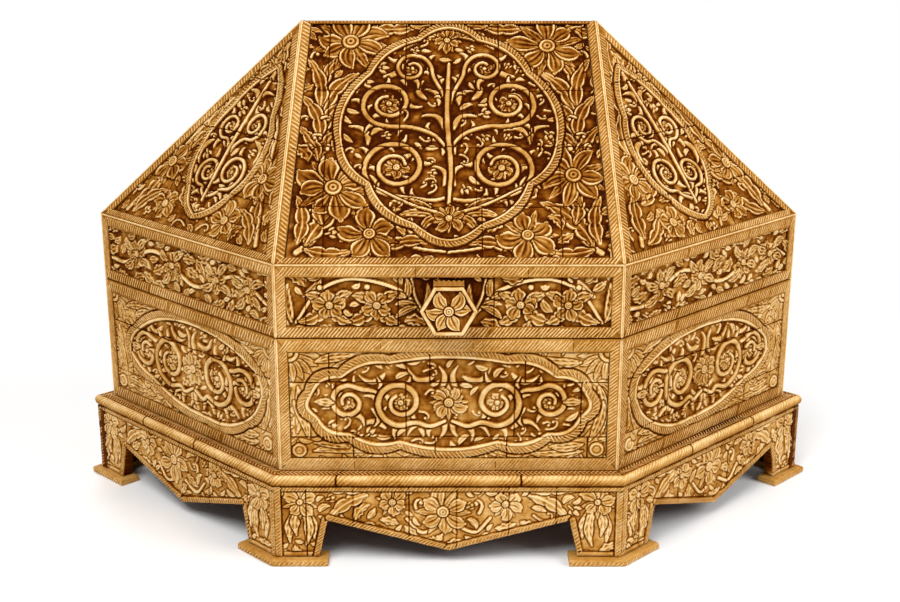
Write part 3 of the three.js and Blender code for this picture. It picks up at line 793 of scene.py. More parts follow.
# %% The tree that lays ribs
def rib_tree():
    tree = bpy.data.node_groups.new("Ribs along paths", "GeometryNodeTree")
    socket = tree.interface.new_socket
    socket("Geometry", in_out="INPUT", socket_type="NodeSocketGeometry")
    for label, kind, value in (("Rib", "NodeSocketObject", None), ("Pitch", "NodeSocketFloat", 0.0013),
                               ("Seed", "NodeSocketInt", 0), ("Finish", "NodeSocketMaterial", None)):
        made = socket(label, in_out="INPUT", socket_type=kind)
        if value is not None:
            made.default_value = value
    socket("Geometry", in_out="OUTPUT", socket_type="NodeSocketGeometry")
    node, link = tree.nodes.new, tree.links.new
    given = node("NodeGroupInput")
    result = node("NodeGroupOutput")
    to_curve = node("GeometryNodeMeshToCurve")
    spaced = node("GeometryNodeResampleCurve")
    spaced.mode = "LENGTH"
    rib = node("GeometryNodeObjectInfo")
    tangent = node("GeometryNodeInputTangent")
    along_path = node("FunctionNodeAlignRotationToVector")
    along_path.axis = "X"
    on_face = node("FunctionNodeAlignRotationToVector")
    on_face.axis = "Z"
    on_face.pivot_axis = "X"
    slanted = node("FunctionNodeRotateRotation")
    slanted.rotation_space = "LOCAL"
    slant = node("FunctionNodeAxisAngleToRotation")
    slant.inputs["Axis"].default_value = (0, 0, 1)
    fields = {}
    for label, kind in (("facing", "FLOAT_VECTOR"), ("size", "FLOAT_VECTOR"), ("slant", "FLOAT")):
        fields[label] = node("GeometryNodeInputNamedAttribute")
        fields[label].data_type = kind
        fields[label].inputs["Name"].default_value = label
    uneven = node("FunctionNodeRandomValue")
    uneven.data_type = "FLOAT_VECTOR"
    uneven.inputs["Min"].default_value = (0.72, 0.9, 0.5)
    uneven.inputs["Max"].default_value = (1.12, 1.0, 1.0)
    swing = node("FunctionNodeRandomValue")
    swing.inputs[2].default_value, swing.inputs[3].default_value = -0.12, 0.12
    swung = node("ShaderNodeMath")
    sized = node("ShaderNodeVectorMath")
    sized.operation = "MULTIPLY"
    laid = node("GeometryNodeInstanceOnPoints")
    real = node("GeometryNodeRealizeInstances")
    finished = node("GeometryNodeSetMaterial")
    link(given.outputs["Geometry"], to_curve.inputs["Mesh"])
    link(to_curve.outputs["Curve"], spaced.inputs["Curve"])
    link(given.outputs["Pitch"], spaced.inputs["Length"])
    link(given.outputs["Rib"], rib.inputs["Object"])
    link(tangent.outputs["Tangent"], along_path.inputs["Vector"])
    link(along_path.outputs["Rotation"], on_face.inputs["Rotation"])
    link(fields["facing"].outputs["Attribute"], on_face.inputs["Vector"])
    link(on_face.outputs["Rotation"], slanted.inputs["Rotation"])
    link(fields["slant"].outputs["Attribute"], swung.inputs[0])
    link(swing.outputs[1], swung.inputs[1])
    link(swung.outputs["Value"], slant.inputs["Angle"])
    link(slant.outputs["Rotation"], slanted.inputs["Rotate By"])
    link(given.outputs["Seed"], uneven.inputs["Seed"])
    link(fields["size"].outputs["Attribute"], sized.inputs[0])
    link(uneven.outputs["Value"], sized.inputs[1])
    link(spaced.outputs["Curve"], laid.inputs["Points"])
    link(rib.outputs["Geometry"], laid.inputs["Instance"])
    link(slanted.outputs["Rotation"], laid.inputs["Rotation"])
    link(sized.outputs["Vector"], laid.inputs["Scale"])
    link(laid.outputs["Instances"], real.inputs["Geometry"])
    link(real.outputs["Geometry"], finished.inputs["Geometry"])
    link(given.outputs["Finish"], finished.inputs["Material"])
    link(finished.outputs["Geometry"], result.inputs["Geometry"])
    return tree


def rib_shape():
    """One rib, a unit long and high: broad at its foot and rounded towards its top and ends."""
    crest = 0.2
    points, stains = [], []
    # Each rib is darker at its foot than at its crest: painted shade where it meets the strip.
    for y, rise, foot in ((-0.5, 0.25, 0.3), (-0.4, 0.95, 0.5), (0.4, 0.95, 0.5), (0.5, 0.25, 0.3)):
        points += [(-foot, y, 0), (-crest, y, rise), (crest, y, rise), (foot, y, 0)]
        stains += [0.8, 0.22, 0.22, 0.8]
    faces = [[4 * k + 1 + i, 4 * k + 5 + i, 4 * k + 4 + i, 4 * k + i] for k in range(3) for i in range(3)]
    faces += [[4 * k + 3, 4 * k + 7, 4 * k + 4, 4 * k][::-1] for k in range(3)]
    faces += [[0, 1, 2, 3], [15, 14, 13, 12]]
    shape = Shape()
    shape.add(points, faces, stains, 0.0, True)
    mesh = shape.mesh("rib")
    mesh.attributes.remove(mesh.attributes["tone"])
    turned = bmesh.new()
    turned.from_mesh(mesh)
    bmesh.ops.recalc_face_normals(turned, faces=turned.faces)
    turned.to_mesh(mesh)
    turned.free()
    piece = bpy.data.objects.new("rib", mesh)
    bpy.context.scene.collection.objects.link(piece)
    return piece


RIBS = rib_tree()
RIB = rib_shape()
SLOT_OF = {item.name: item.identifier for item in RIBS.interface.items_tree if item.in_out == "INPUT"}
print("The tree takes", ", ".join(name for name in SLOT_OF if name != "Geometry"))


# %% Laying the ribs
class Runs:
    """Paths that ribs will follow, each with its pitch, length, height, slant and tone."""

    def __init__(self):
        self.of_pitch = {}
        self.count = 0

    def add(self, path, facing, pitch, long, rise, slant=0.0, tone=0.0, full=0.82):
        """A path in metres; the other sizes are in millimetres and degrees."""
        path = np.asarray(path, float)
        lean = math.cos(math.radians(slant))
        size = np.empty((len(path), 3))
        size[:, 0], size[:, 1], size[:, 2] = pitch * full * lean, np.asarray(long) / lean, rise
        self.of_pitch.setdefault(pitch, []).append((path, facing, size * MM, math.radians(slant), tone))
        self.count += 1

    def piece(self, name, body, slot, finish, seed):
        """All the ribs as one plain mesh."""
        joined = bmesh.new()
        for pitch, runs in self.of_pitch.items():
            mesh = bpy.data.meshes.new("paths")
            points = np.concatenate([run[0] for run in runs])
            edges, start = [], 0
            for run in runs:
                edges += [(start + i, start + i + 1) for i in range(len(run[0]) - 1)]
                start += len(run[0])
            mesh.from_pydata(points.tolist(), edges, [])
            lengths = [len(run[0]) for run in runs]
            sizes = np.concatenate([run[2] for run in runs]).astype(np.float32)
            mesh.attributes.new("size", "FLOAT_VECTOR", "POINT").data.foreach_set("vector", sizes.ravel())
            for label, kind, field, place in (("facing", "FLOAT_VECTOR", "vector", 1),
                                              ("slant", "FLOAT", "value", 3), ("tone", "FLOAT", "value", 4)):
                spread = np.repeat(np.asarray([run[place] for run in runs], np.float32), lengths, axis=0)
                mesh.attributes.new(label, kind, "POINT").data.foreach_set(field, spread.ravel())
            paths = bpy.data.objects.new("paths", mesh)
            bpy.context.scene.collection.objects.link(paths)
            laying = paths.modifiers.new("ribs", "NODES")
            laying.node_group = RIBS
            laying[SLOT_OF["Rib"]] = RIB
            laying[SLOT_OF["Pitch"]] = pitch * MM
            laying[SLOT_OF["Seed"]] = seed
            laying[SLOT_OF["Finish"]] = finish
            laid = bpy.data.meshes.new_from_object(paths.evaluated_get(bpy.context.evaluated_depsgraph_get()))
            joined.from_mesh(laid)
            paths.modifiers.clear()
            bpy.data.objects.remove(paths)
            bpy.data.meshes.remove(laid)
        mesh = bpy.data.meshes.new(name)
        joined.to_mesh(mesh)
        joined.free()
        for label in [layer.name for layer in mesh.attributes]:
            if label in ("facing", "size", "slant"):
                mesh.attributes.remove(mesh.attributes[label])
        mesh.polygons.foreach_set("use_smooth", np.ones(len(mesh.polygons), bool))
        print(f"{name}: {self.count} paths, {len(mesh.polygons) // 14} ribs")
        new_piece(name, mesh, body, (), finish)


ribs_of = {"body": Runs(), "lid": Runs()}

# %% [markdown]
# ## Finishes
#
# Old bone is honey coloured where it was stained, and cream where the stain has been rubbed off a rim.
# The stain also carries painted light: the cuts are painted nearly black as their shade, and rims are
# painted pale as a highlight. All of that follows the carving, so the colour reads the stain that each
# point carries, and noise only blurs it. Object coordinates keep one grain through all plates.

# %% Materials
CREAM, PALE, HONEY, AMBER, BROWN, DEEP = (
    (0.85, 0.61, 0.3), (0.62, 0.35, 0.1), (0.43, 0.19, 0.028),
    (0.25, 0.084, 0.007), (0.12, 0.027, 0.001), (0.04, 0.006, 0.0005),
)


class Finish:
    """A material and short ways to add and join its nodes."""

    def __init__(self, name, metallic=0.0, roughness=None):
        self.material = bpy.data.materials.new(name)
        self.material.use_nodes = True
        self.tree = self.material.node_tree
        self.surface = self.tree.nodes["Principled BSDF"]
        self.surface.inputs["Metallic"].default_value = metallic
        if roughness is not None:
            self.surface.inputs["Roughness"].default_value = roughness
        self.place = self.tree.nodes.new("ShaderNodeTexCoord").outputs["Object"]

    def join(self, source, target):
        self.tree.links.new(source, target)

    def layer(self, name):
        node = self.tree.nodes.new("ShaderNodeAttribute")
        node.attribute_name = name
        return node.outputs["Fac"]

    def noise(self, scale, stretch=(1, 1, 1), detail=2.0):
        spread = self.tree.nodes.new("ShaderNodeMapping")
        spread.inputs["Scale"].default_value = stretch
        node = self.tree.nodes.new("ShaderNodeTexNoise")
        node.inputs["Scale"].default_value = scale
        node.inputs["Detail"].default_value = detail
        self.join(self.place, spread.inputs["Vector"])
        self.join(spread.outputs["Vector"], node.inputs["Vector"])
        return node.outputs["Fac"]

    def math(self, operation, *values):
        node = self.tree.nodes.new("ShaderNodeMath")
        node.operation = operation
        for i, value in enumerate(values):
            if isinstance(value, (int, float)):
                node.inputs[i].default_value = value
            else:
                self.join(value, node.inputs[i])
        return node.outputs[0]

    def sum_of(self, start, *parts):
        """start + each part's value, less its middle, times its share."""
        total = start
        for value, middle, share in parts:
            moved = self.math("SUBTRACT", value, middle)
            total = self.math("ADD", total, self.math("MULTIPLY", moved, share))
        return total

    def ramp(self, value, stops):
        node = self.tree.nodes.new("ShaderNodeValToRGB")
        for element in node.color_ramp.elements[1:]:
            node.color_ramp.elements.remove(element)
        node.color_ramp.elements[0].position = stops[0][0]
        node.color_ramp.elements[0].color = (*stops[0][1], 1)
        for position, colour in stops[1:]:
            node.color_ramp.elements.new(position).color = (*colour, 1)
        self.join(value, node.inputs["Fac"])
        return node.outputs["Color"]

    def dress(self, colour, roughness=None, height=None, depth=0.0):
        self.join(colour, self.surface.inputs["Base Color"])
        if roughness is not None:
            self.join(roughness, self.surface.inputs["Roughness"])
        if height is not None:
            bump = self.tree.nodes.new("ShaderNodeBump")
            bump.inputs["Distance"].default_value = depth
            self.join(height, bump.inputs["Height"])
            self.join(bump.outputs["Normal"], self.surface.inputs["Normal"])
        return self.material


def bone(name):
    """Bone that is as dark as the stain which its points carry, with their painted shade and highlights."""
    finish = Finish(name)
    mottle, speck = finish.noise(38, detail=3), finish.noise(420)
    grain = finish.noise(1, (60, 60, 1300), 3)
    stain = finish.sum_of(finish.layer("stain"), (mottle, 0.5, 0.34), (speck, 0.5, 0.3), (grain, 0.5, 0.16),
                          (finish.layer("tone"), 0.0, 0.05))
    colour = finish.ramp(stain, ((0.08, CREAM), (0.28, PALE), (0.46, HONEY),
                                 (0.62, AMBER), (0.8, BROWN), (1.0, DEEP)))
    sheen = finish.math("MAXIMUM", finish.sum_of(0.2, (stain, 0.0, -0.3)), 0.01)
    finish.join(sheen, finish.surface.inputs["Specular IOR Level"])
    roughness = finish.sum_of(0.44, (stain, 0.0, 0.2), (speck, 0.5, 0.2))
    return finish.dress(colour, roughness, finish.sum_of(speck, (grain, 0.5, 0.8)), 0.00008)


bone_carved, bone_hatched = bone("carved bone"), bone("hatched bone")
print("Made", bone_carved.name, "and", bone_hatched.name)

# %% [markdown]
# ## Strips of bone round the carving
#
# Each face is framed by strips, mitred at the corners and pieced together from lengths of bone with
# dark joints between them. The CAD frame gives the outline and the opening. The strips stop a third
# of a millimetre short of its front, and the ribs bring them up to it, so the overall size stays.

# %% Strips
RIB_RISE = 0.34  # the ribs of a strip, over its ground
LIP = 0.85  # the smooth edge of a strip, where it has one
JOINT = 0.26  # the gap between two lengths of bone
STRIP_BASE = -2.7
MITRE_REACH, PEAK_REACH = 0.38, 0.05  # how far ribs run into a mitre, and into the peak of a roof face


def slant_of(path, face, lean):
    """The turn from square-on that makes a rib lean by an angle from the face's own u axis."""
    run = (path[-1] - path[0]) / MM
    way = math.degrees(math.atan2(run @ face.v, run @ face.u))
    turn = (lean - way - 90) % 180
    return turn - 180 if turn > 90 else turn


def kind_of(way):
    if abs(way[0]) > 0.93:
        return "bottom" if way[0] > 0 else "top"
    return "right" if way[1] > 0 else "left"


def hatch(face, a, b, width, h, pitch, lean, body, tone=0.0, rise=RIB_RISE, full=0.74):
    """Ribs along a straight line on a face, from a to b, filling a width."""
    line = np.array([a, b], float)
    path = face.at(line[:, 0], line[:, 1], h)
    ribs_of[body].add(path, face.n, pitch, width, rise, slant_of(path, face, lean), tone, full)


def strips(shape, face, style, body, seed, lengths):
    """Mitred strips between a frame's outline and its opening, styled by the kind of each side."""
    random = np.random.default_rng(seed)
    outer, inner = face.outline, face.holes[0]
    inner_way = np.roll(inner, -1, 0) - inner
    inner_way /= np.linalg.norm(inner_way, axis=1)[:, None]
    for i in range(len(outer)):
        a, b = outer[i], outer[(i + 1) % len(outer)]
        length = np.linalg.norm(b - a)
        way = (b - a) / length
        inward = np.array([-way[1], way[0]])
        match = (inner_way @ way).argmax()
        c, d = inner[match], inner[(match + 1) % len(inner)]
        width = (c - a) @ inward
        start, end = (c - a) @ way, (d - a) @ way
        kind, is_hip = kind_of(way), 0.02 < abs(way[0]) < 0.93
        before, after = (PEAK_REACH if is_hip and kind == upper else MITRE_REACH
                         for upper in ("left", "right"))
        pitch, lean, lip, groove = style[kind]
        cuts, place = [], random.uniform(*lengths) * 0.6
        while place < length - 30:
            if start + 4 < place < end - 4:
                cuts.append(place)
            place += random.uniform(*lengths)
        marks = [None, *cuts, None]
        lip_width = LIP if lip else 0.0
        if lip:
            far = lip_width * np.array([start / width, (length - end) / width])
            lip_corners = [a, b, b + inward * lip_width - way * far[1], a + inward * lip_width + way * far[0]]
            plate(shape, face, lip_corners, STRIP_BASE, 0, 0.16, 0.12, 0.5)
        for left, right in zip(marks[:-1], marks[1:]):
            tone = random.uniform(-1, 1)
            low = [a, c] if left is None else [a + way * left, a + way * left + inward * width]
            high = [b, d] if right is None else [a + way * right, a + way * right + inward * width]
            corners = np.array([low[0], high[0], high[1], low[1]])
            # The strip's ground under the ribs gets the style's groove stain, which is painted shade between
            # them.
            plate(shape, face, drawn_in(corners, JOINT / 2), STRIP_BASE, -RIB_RISE, 0.12, groove, 0.95, tone)
            margin = 0.3 * (width - lip_width)
            near = start * (1 - before) if left is None else left + margin
            far = end + (length - end) * after if right is None else right - margin
            middle = inward * (width + lip_width) / 2
            clear = 1.7 if kind == "top" else 0.7
            hatch(face, a + way * near + middle, a + way * far + middle, width - lip_width - clear,
                  -RIB_RISE - 0.05, pitch, lean, body, tone)


# Each kind of strip has its pitch, the lean of its ribs, whether it has a lip, and its grooves' stain,
# which is painted shade between the ribs.
front_style = {"bottom": (1.9, 50, False, 0.36), "top": (1.9, 50, False, 0.46),
               "left": (1.8, 45, True, 0.46), "right": (1.8, 38, True, 0.48)}
side_style = {"bottom": (2.1, 64, False, 0.55), "top": (2.1, 64, False, 0.52),
              "left": (1.8, 128, True, 0.5), "right": (1.8, 52, True, 0.5)}
front_hips = {"bottom": (1.9, 50, False, 0.62), "top": (1.9, 50, False, 0.62),
              "left": (2.6, 140, True, 0.54), "right": (2.3, 52, True, 0.52)}
side_hips = {"bottom": (1.8, 62, False, 0.6), "left": (2.0, 130, True, 0.55), "right": (2.0, 50, True, 0.55)}
for side in SIDES:
    square_on = side in ("front", "back")
    for word, edge, style, body, size in (
        ("roof", roof_edge[side], front_hips if square_on else side_hips, "lid", (46, 80)),
        ("wall", wall_edge[side], front_style if square_on else side_style, "body", (40, 78)),
    ):
        shape = Shape()
        strips(shape, edge, style, body, SIDES.index(side) + len(word) * 10, size)
        new_piece(f"strips_{word}_{side}", shape.mesh(f"strips_{word}_{side}"), body,
                  [edge.node], bone_hatched)
rows = sum(runs.count for runs in ribs_of.values())
print("Strips on", 2 * len(SIDES), "faces, with", rows, "rows of ribs")

# %% [markdown]
# ## The lobed ring
#
# On every large face the carving is held by a ring of rounded lobes that meet in small points. Its
# outer half is hatched like rope and its inner half is a smooth bright rim. It is drawn last, so it
# lies over the leaves that reach it, and its path is kept, because the ribs follow it later.

# %% Rings
def ring(c, cusps, rises, thin=1.6, full=2.35, body="lid", pitch=2.0, lean=32, rise=0.46):
    """A closed chain of lobes, clockwise, with the outside on the left of the way."""
    cusps = [np.asarray(cusp, float) for cusp in cusps]

    def width(share):
        return thin + (full - thin) * np.sin(np.pi * np.clip(share, 0, 1)) ** 0.6

    def profile(q, share, side, distance):
        rim = ridge(q * side + 0.66, 0.24)
        groove = ridge(q * side + 0.3, 0.12)
        return 0.76 + 0.24 * rim - 0.2 * groove

    # The outer half, under the rope's ribs, is darker as painted shade between them.
    def tint(side):
        return np.where(side > 0, 0.12, 0.0)

    lobes = [arc(a, b, sagitta, max(9, int(np.hypot(*(b - a)) / 2.5)))
             for a, b, sagitta in zip(cusps, [*cusps[1:], cusps[0]], rises)]
    for path in lobes:
        c.mark(path, width, lambda q, share, side, distance: 0 * q, moat=1.0)
    for path in lobes:
        c.mark(path, width, profile, moat=0, stain=tint)
        way = np.gradient(path, axis=0)
        way /= np.linalg.norm(way, axis=1)[:, None]
        left = np.stack([-way[:, 1], way[:, 0]], 1)
        wide = width(np.linspace(0, 1, len(path)))
        line = path + left * wide[:, None] * 0.36
        ribs_of[body].add(c.face.at(line[:, 0], line[:, 1], RELIEF_RIB), c.face.n, pitch, wide * 1.3,
                          rise, lean, full=0.62)


def inside_of(c, cusps, rises):
    """The grid's places inside a ring."""
    outline = np.concatenate([arc(a, b, sagitta)[:-1] for a, b, sagitta in
                              zip(cusps, [*cusps[1:], cusps[0]], rises)])
    places = np.stack([c.u.ravel(), c.v.ravel()], 1)
    return (edge_distance(places, outline)[0] > 0).reshape(c.u.shape)


RELIEF_GROUND, RELIEF_TOP, RELIEF_BACK, RELIEF_RIB = -1.7, 0.0, -2.45, -0.44


def ring_of(half, rises, top, bottom):
    """A symmetrical ring: its right half read downwards, the rises of its lobes, and the two middle ones."""
    cusps = [*half, *[(-x, y) for x, y in half[::-1]]]
    return cusps, [*rises, bottom, *rises[::-1], top]


FRONT_ROOF_RING = ring_of([(17, 146), (44, 122), (59, 74), (43, 48), (18, 22)], [5, 7, 4, 5], 9.5, 10.4)
WALL_RING = ring_of([(31, 113), (57, 105), (73.5, 95), (71, 80), (53, 70), (26, 65.5)],
                    [3.8, 4.2, 4.6, 4.4, 4.2], 3.8, 5)
print("The roof's ring has", len(FRONT_ROOF_RING[0]), "lobes and the wall's", len(WALL_RING[0]))

# %% [markdown]
# ## The front and back of the roof
#
# A ring fills the middle. Inside it, scrolls cross and coil. Outside it, big flowers stand in the
# upper and lower corners, and a bunch of stems grows out of each bottom corner between them.

# %% The scrolls inside the roof's ring
VINE_STEP = 9.0  # between two palmettes, and about as long as each is


def vine(c, path, wide, sway):
    """A strap that sends out half palmettes on both sides in turn."""
    way = np.gradient(path, axis=0)
    way /= np.maximum(np.linalg.norm(way, axis=1), 1e-9)[:, None]
    travelled = np.concatenate([[0], np.cumsum(np.linalg.norm(np.diff(path, axis=0), axis=1))])
    for place in np.arange(VINE_STEP * 0.6, travelled[-1] - VINE_STEP * 0.4, VINE_STEP):
        i = int(np.searchsorted(travelled, place))
        sway = -sway
        turn = math.radians(46 + c.random.uniform(-8, 8)) * sway
        ahead = np.array(Matrix.Rotation(turn, 2) @ Vector(way[i])) * VINE_STEP * c.random.uniform(0.8, 1.15)
        palmette(c, path[i], path[i] + ahead, 1.2, -0.28 * sway)
    stroke(c, path, wide, 0.7)


def scroll(c, half, lead, centre, radius, start, turns, hand, wide):
    """A strap that leads into a coil round a small flower."""
    path = half.path(*lead, *coil(centre, radius, start, turns, hand))
    flower(c, half.at(*centre), radius * 0.36, 5, c.random.uniform(0, 1), radius * 0.13, radius * 0.1)
    vine(c, path, wide, half.sign)


# Where each half palmette starts and ends, as x, y, x and y, and how it turns
ROOF_PALMETTES = (
    (44, 74, 54, 86, 0.3), (42, 80, 30, 83, -0.25), (3, 68, 12, 80, 0.3), (3, 84, 15, 92, 0.3),
    (36, 119, 27, 134, 0.3), (40, 40, 49, 55, 0.3), (2, 118, 10, 132, -0.3), (3, 48, 9, 60, 0.3),
    (13, 104, 14, 116, -0.3), (6, 100, 13, 110, 0.3),
)


def scrolls(c, half):
    for x, y, to_x, to_y, turn in ROOF_PALMETTES:
        palmette(c, half.at(x, y), half.at(to_x, to_y), 1.4, turn * half.sign)
    scroll(c, half, [(0, 96), (3, 108), (8, 119)], (20, 125), 10.5, 170, 1.3, -1, 1.15)
    scroll(c, half, [(0, 70), (8, 80), (20, 85)], (33, 101), 15.5, -95, 1.5, 1, 1.4)
    scroll(c, half, [(0, 40), (8, 38), (18, 39)], (28, 59), 18.5, -92, 1.7, 1, 1.45)


# Fronds: where each starts and ends, its half width, its bend and, for some, its lobes
STEM_FRONDS = (
    (69, 112, 60, 134, 2.8, -0.1), (68, 96, 50, 122, 4.4, -0.12), (70, 98, 78, 132, 3.8, 0.1),
    (68, 80, 56, 104, 3.6, -0.1), (70, 78, 81, 106, 3.8, 0.12), (69, 66, 57, 84, 3.0, -0.1),
    (70, 64, 82, 86, 3.4, 0.1),
)
CORNER_FRONDS = (
    (74, 11, 48, 37, 5.2, -0.12, 4), (74, 8, 50, 7, 3.8, 0.1, 3), (78, 12, 80, 40, 3.8, 0.1, 3),
    (66, 24, 66, 44, 3.6, -0.1, 3), (42, 154, 16, 156, 3.8, 0.08, 3), (34, 8, 8, 12, 3.6, -0.1, 3),
)
# Curls: place, way in degrees, size and hand
ROOF_CURLS = (
    (69, 91, 150, 6, 1), (69, 80, 20, 6, -1), (77, 133, 100, 7, 1), (73, 72, 60, 5, -1),
    (73, 27, 70, 7, 1), (76, 20, 60, 6, -1), (68, 27, 110, 6, -1),
)
# The four big flowers: place, radius, number of petals, whether these are round, and their share in width
BIG_FLOWERS = (
    (-55, 144, 20, 7, False, 0.26), (55, 141, 19, 6, True, 0.29),
    (-61, 46, 19, 8, True, 0.29), (66, 54, 18, 7, False, 0.26),
)


def roof_front(face, seed):
    c = Carving(face, GRID, seed)
    cusps, rises = FRONT_ROOF_RING
    for half in halves(c):
        stem(c, half.path((33, 16), (18, 9), (0, 6)), 1.1, 0.7)
        stem(c, half.path((68, 64), (66, 92), (69, 127)), 1.3, 0.9)
        stem(c, half.path((79, 6), (70, 14), (64, 28)), 1.6, 1.0)
        for x, y, to_x, to_y, wide, bend in STEM_FRONDS:
            frond(c, half.at(x, y), half.at(to_x, to_y), wide, bend * half.sign)
        for x, y, way, size, hand in ROOF_CURLS:
            curl(c, half.at(x, y), half.way(way), size, hand * half.sign)
        bud(c, half.at(61, 71), half.way(100), 9)
        for x, y, to_x, to_y, wide, bend, lobes in CORNER_FRONDS:
            frond(c, half.at(x, y), half.at(to_x, to_y), wide, bend * half.sign, lobes)
        half.leaves(c, (22, 155), [(6, 158)], 1.8, 0.1)
        flower(c, half.at(41, 17), 14.5, 5, c.random.uniform(0, 1), 5.2, 3.1)
    for x, y, radius, petals, rounded, wide in BIG_FLOWERS:
        flower(c, (x, y), radius, petals, c.random.uniform(0, 1), radius * wide, radius * 0.235, rounded)
    outside = ~inside_of(c, cusps, rises)
    sprinkle(c, outside, 16, 3.3)
    c.clear(~outside)
    for half in halves(c):
        scrolls(c, half)
        half.leaves(c, (4, 148), [(25, 139), (14, 151)], 1.7)
        half.leaves(c, (6, 28), [(30, 38), (26, 28), (14, 19)], 2.1)
        stem(c, half.path((4, 30), (20, 36), (38, 46)), 1.0, 0.6)
    stroke(c, curve((0, 36), (1, 60), (-1, 92), (0, 128)), 1.45, 0.8)
    flower(c, (-1, 145), 7.5, 6, 0.4, 2.1, 1.7)
    flower(c, (0, 27), 8, 5, 0.3, 2.6, 1.8)
    sprinkle(c, ~outside, 8, 1.2, leafy=0.15, shares=(1, 0.7))
    ring(c, cusps, rises)
    return c


# %% [markdown]
# ## The four triangles of the roof
#
# Each is a mirrored pair with its neighbour over the front. A drop-shaped ring stands in the middle,
# four flowers sit round it, and long leaves climb both edges to the top.

# %% The side slopes
DROP_RING = ([(5, 110), (22, 78), (30, 54), (20, 28), (-1, 12), (-17, 28), (-25, 54), (-17, 81)],
             [3, 2.5, 3, 3, 3, 3, 2.5, 3])
SLOPE_FLOWERS = ((-43, 40, 13, 6), (-30, 15, 9, 5), (40, 43, 12, 6), (27, 14, 10, 5), (-13, 100, 7, 5))
SLOPE_PALMETTES = (
    (0, 24, 13, 22, 0.3), (0, 24, -12, 24, -0.3), (20, 62, 26, 50, 0.3), (-17, 58, -19, 44, -0.3),
    (2, 84, 13, 92, 0.3), (2, 84, -8, 93, -0.3), (4, 98, 5, 108, 0.0),
)


def mirrored(cusps, rises, hand):
    """A ring as it is drawn, or its mirror image where hand is -1."""
    if hand > 0:
        return cusps, rises
    return [(-x, y) for x, y in cusps[::-1]], [*rises[::-1][1:], rises[-1]]


def roof_side(face, hand, seed):
    """hand is 1 where the face's +u end is its front corner."""
    c = Carving(face, GRID, seed)
    c.top[:], c.ditch = 0.22, 0.04
    cusps, rises = mirrored(*DROP_RING, hand)
    one = Half(hand, c.random, 0.6)
    half_width = np.ptp(face.outline[:, 0]) / 2
    reach = face.outline[:, 1].max()
    for sign in (-1, 1):
        edge = half_width * hand * sign
        rising = [(edge * 0.84, 6), (edge * 0.66, 30), (edge * 0.42, 72), (edge * 0.18, reach - 36)]
        stem(c, curve(*rising), 1.4, 0.7)
        for y in (10, 32, 56, 80, 102):
            x = edge * (0.84 - 0.0066 * y)
            frond(c, (x, y), (x - edge * 0.14, y + 25), 4.8, 0.1 * sign)
            frond(c, (x - edge * 0.02, y - 4), (x - edge * 0.3, y + 13), 3.8, -0.12 * sign)
    for x, y, radius, petals in SLOPE_FLOWERS:
        flower(c, one.at(x, y), radius, petals, c.random.uniform(0, 1), None, radius * 0.25)
    leaf(c, one.at(3, 118), one.at(3, reach - 22), 3.2, 0.05, lobes=3)
    outside = ~inside_of(c, cusps, rises)
    sprinkle(c, outside, 16, 3.6, way=lambda at: math.pi / 2)
    c.clear(~outside)
    c.ditch = 0.0
    for x, y, to_x, to_y, turn in SLOPE_PALMETTES:
        palmette(c, one.at(x, y), one.at(to_x, to_y), 1.6, turn * hand)
    scroll(c, one, [(0, 24), (8, 28)], (12, 42), 11.5, -100, 1.5, 1, 1.1)
    scroll(c, one, [(0, 24), (-5, 28)], (-8, 40), 9.5, -80, 1.5, -1, 1.1)
    scroll(c, one, [(1, 52), (4, 58)], (12, 71), 9.5, -110, 1.4, 1, 1.05)
    scroll(c, one, [(1, 50), (-3, 58)], (-9, 69), 8.5, -70, 1.4, -1, 1.0)
    stroke(c, one.path((0, 22), (0, 60), (4, 100)), 1.1, 0.6)
    sprinkle(c, ~outside, 7, 1.1, leafy=0.15, shares=(1, 0.7))
    ring(c, cusps, rises, 1.4, 2.0)
    return c


# %% [markdown]
# ## The walls
#
# The walls carry a long low ring, with scrolls inside it, quarter rosettes in its upper corners and
# slender leaves that fill the rest.

# %% The walls
BOSS = 5.2  # the radius of the quarter bosses in the corners
SIDE_WALL_RING = (
    [(28, 115), (63, 103), (68, 88), (52, 69), (14, 61), (-39, 72), (-61, 84), (-54, 99), (-10, 116)],
    [2.2, 3, 3, 4, 4, 3, 3, 4, 1.8],
)
# Leaves along the sides, the top and the bottom: their ends, with x counted inwards from the panel's side
CORNER_LEAVES = (
    (4, 98, 3, 72), (2, 90, 9, 68), (14, 112, 40, 115),
    (22, 108, 46, 112), (12, 62, 40, 61), (12, 66, 30, 64),
)


def quarter_rosette(c, corner, across, up):
    """A quarter of a round boss in a corner, with petals that fan out from it."""
    corner = np.asarray(corner, float)
    for share in np.linspace(0.08, 0.92, 5):
        way = heading_of(share * math.pi / 2) * (across, up)
        leaf(c, corner + way * (BOSS - 0.5), corner + way * BOSS * 3.1, 1.9, 0)
    c.mark([corner], BOSS, lambda q, share, side, distance:
           0.92 - 0.7 * ridge(distance - 0.55 * BOSS, 0.5))


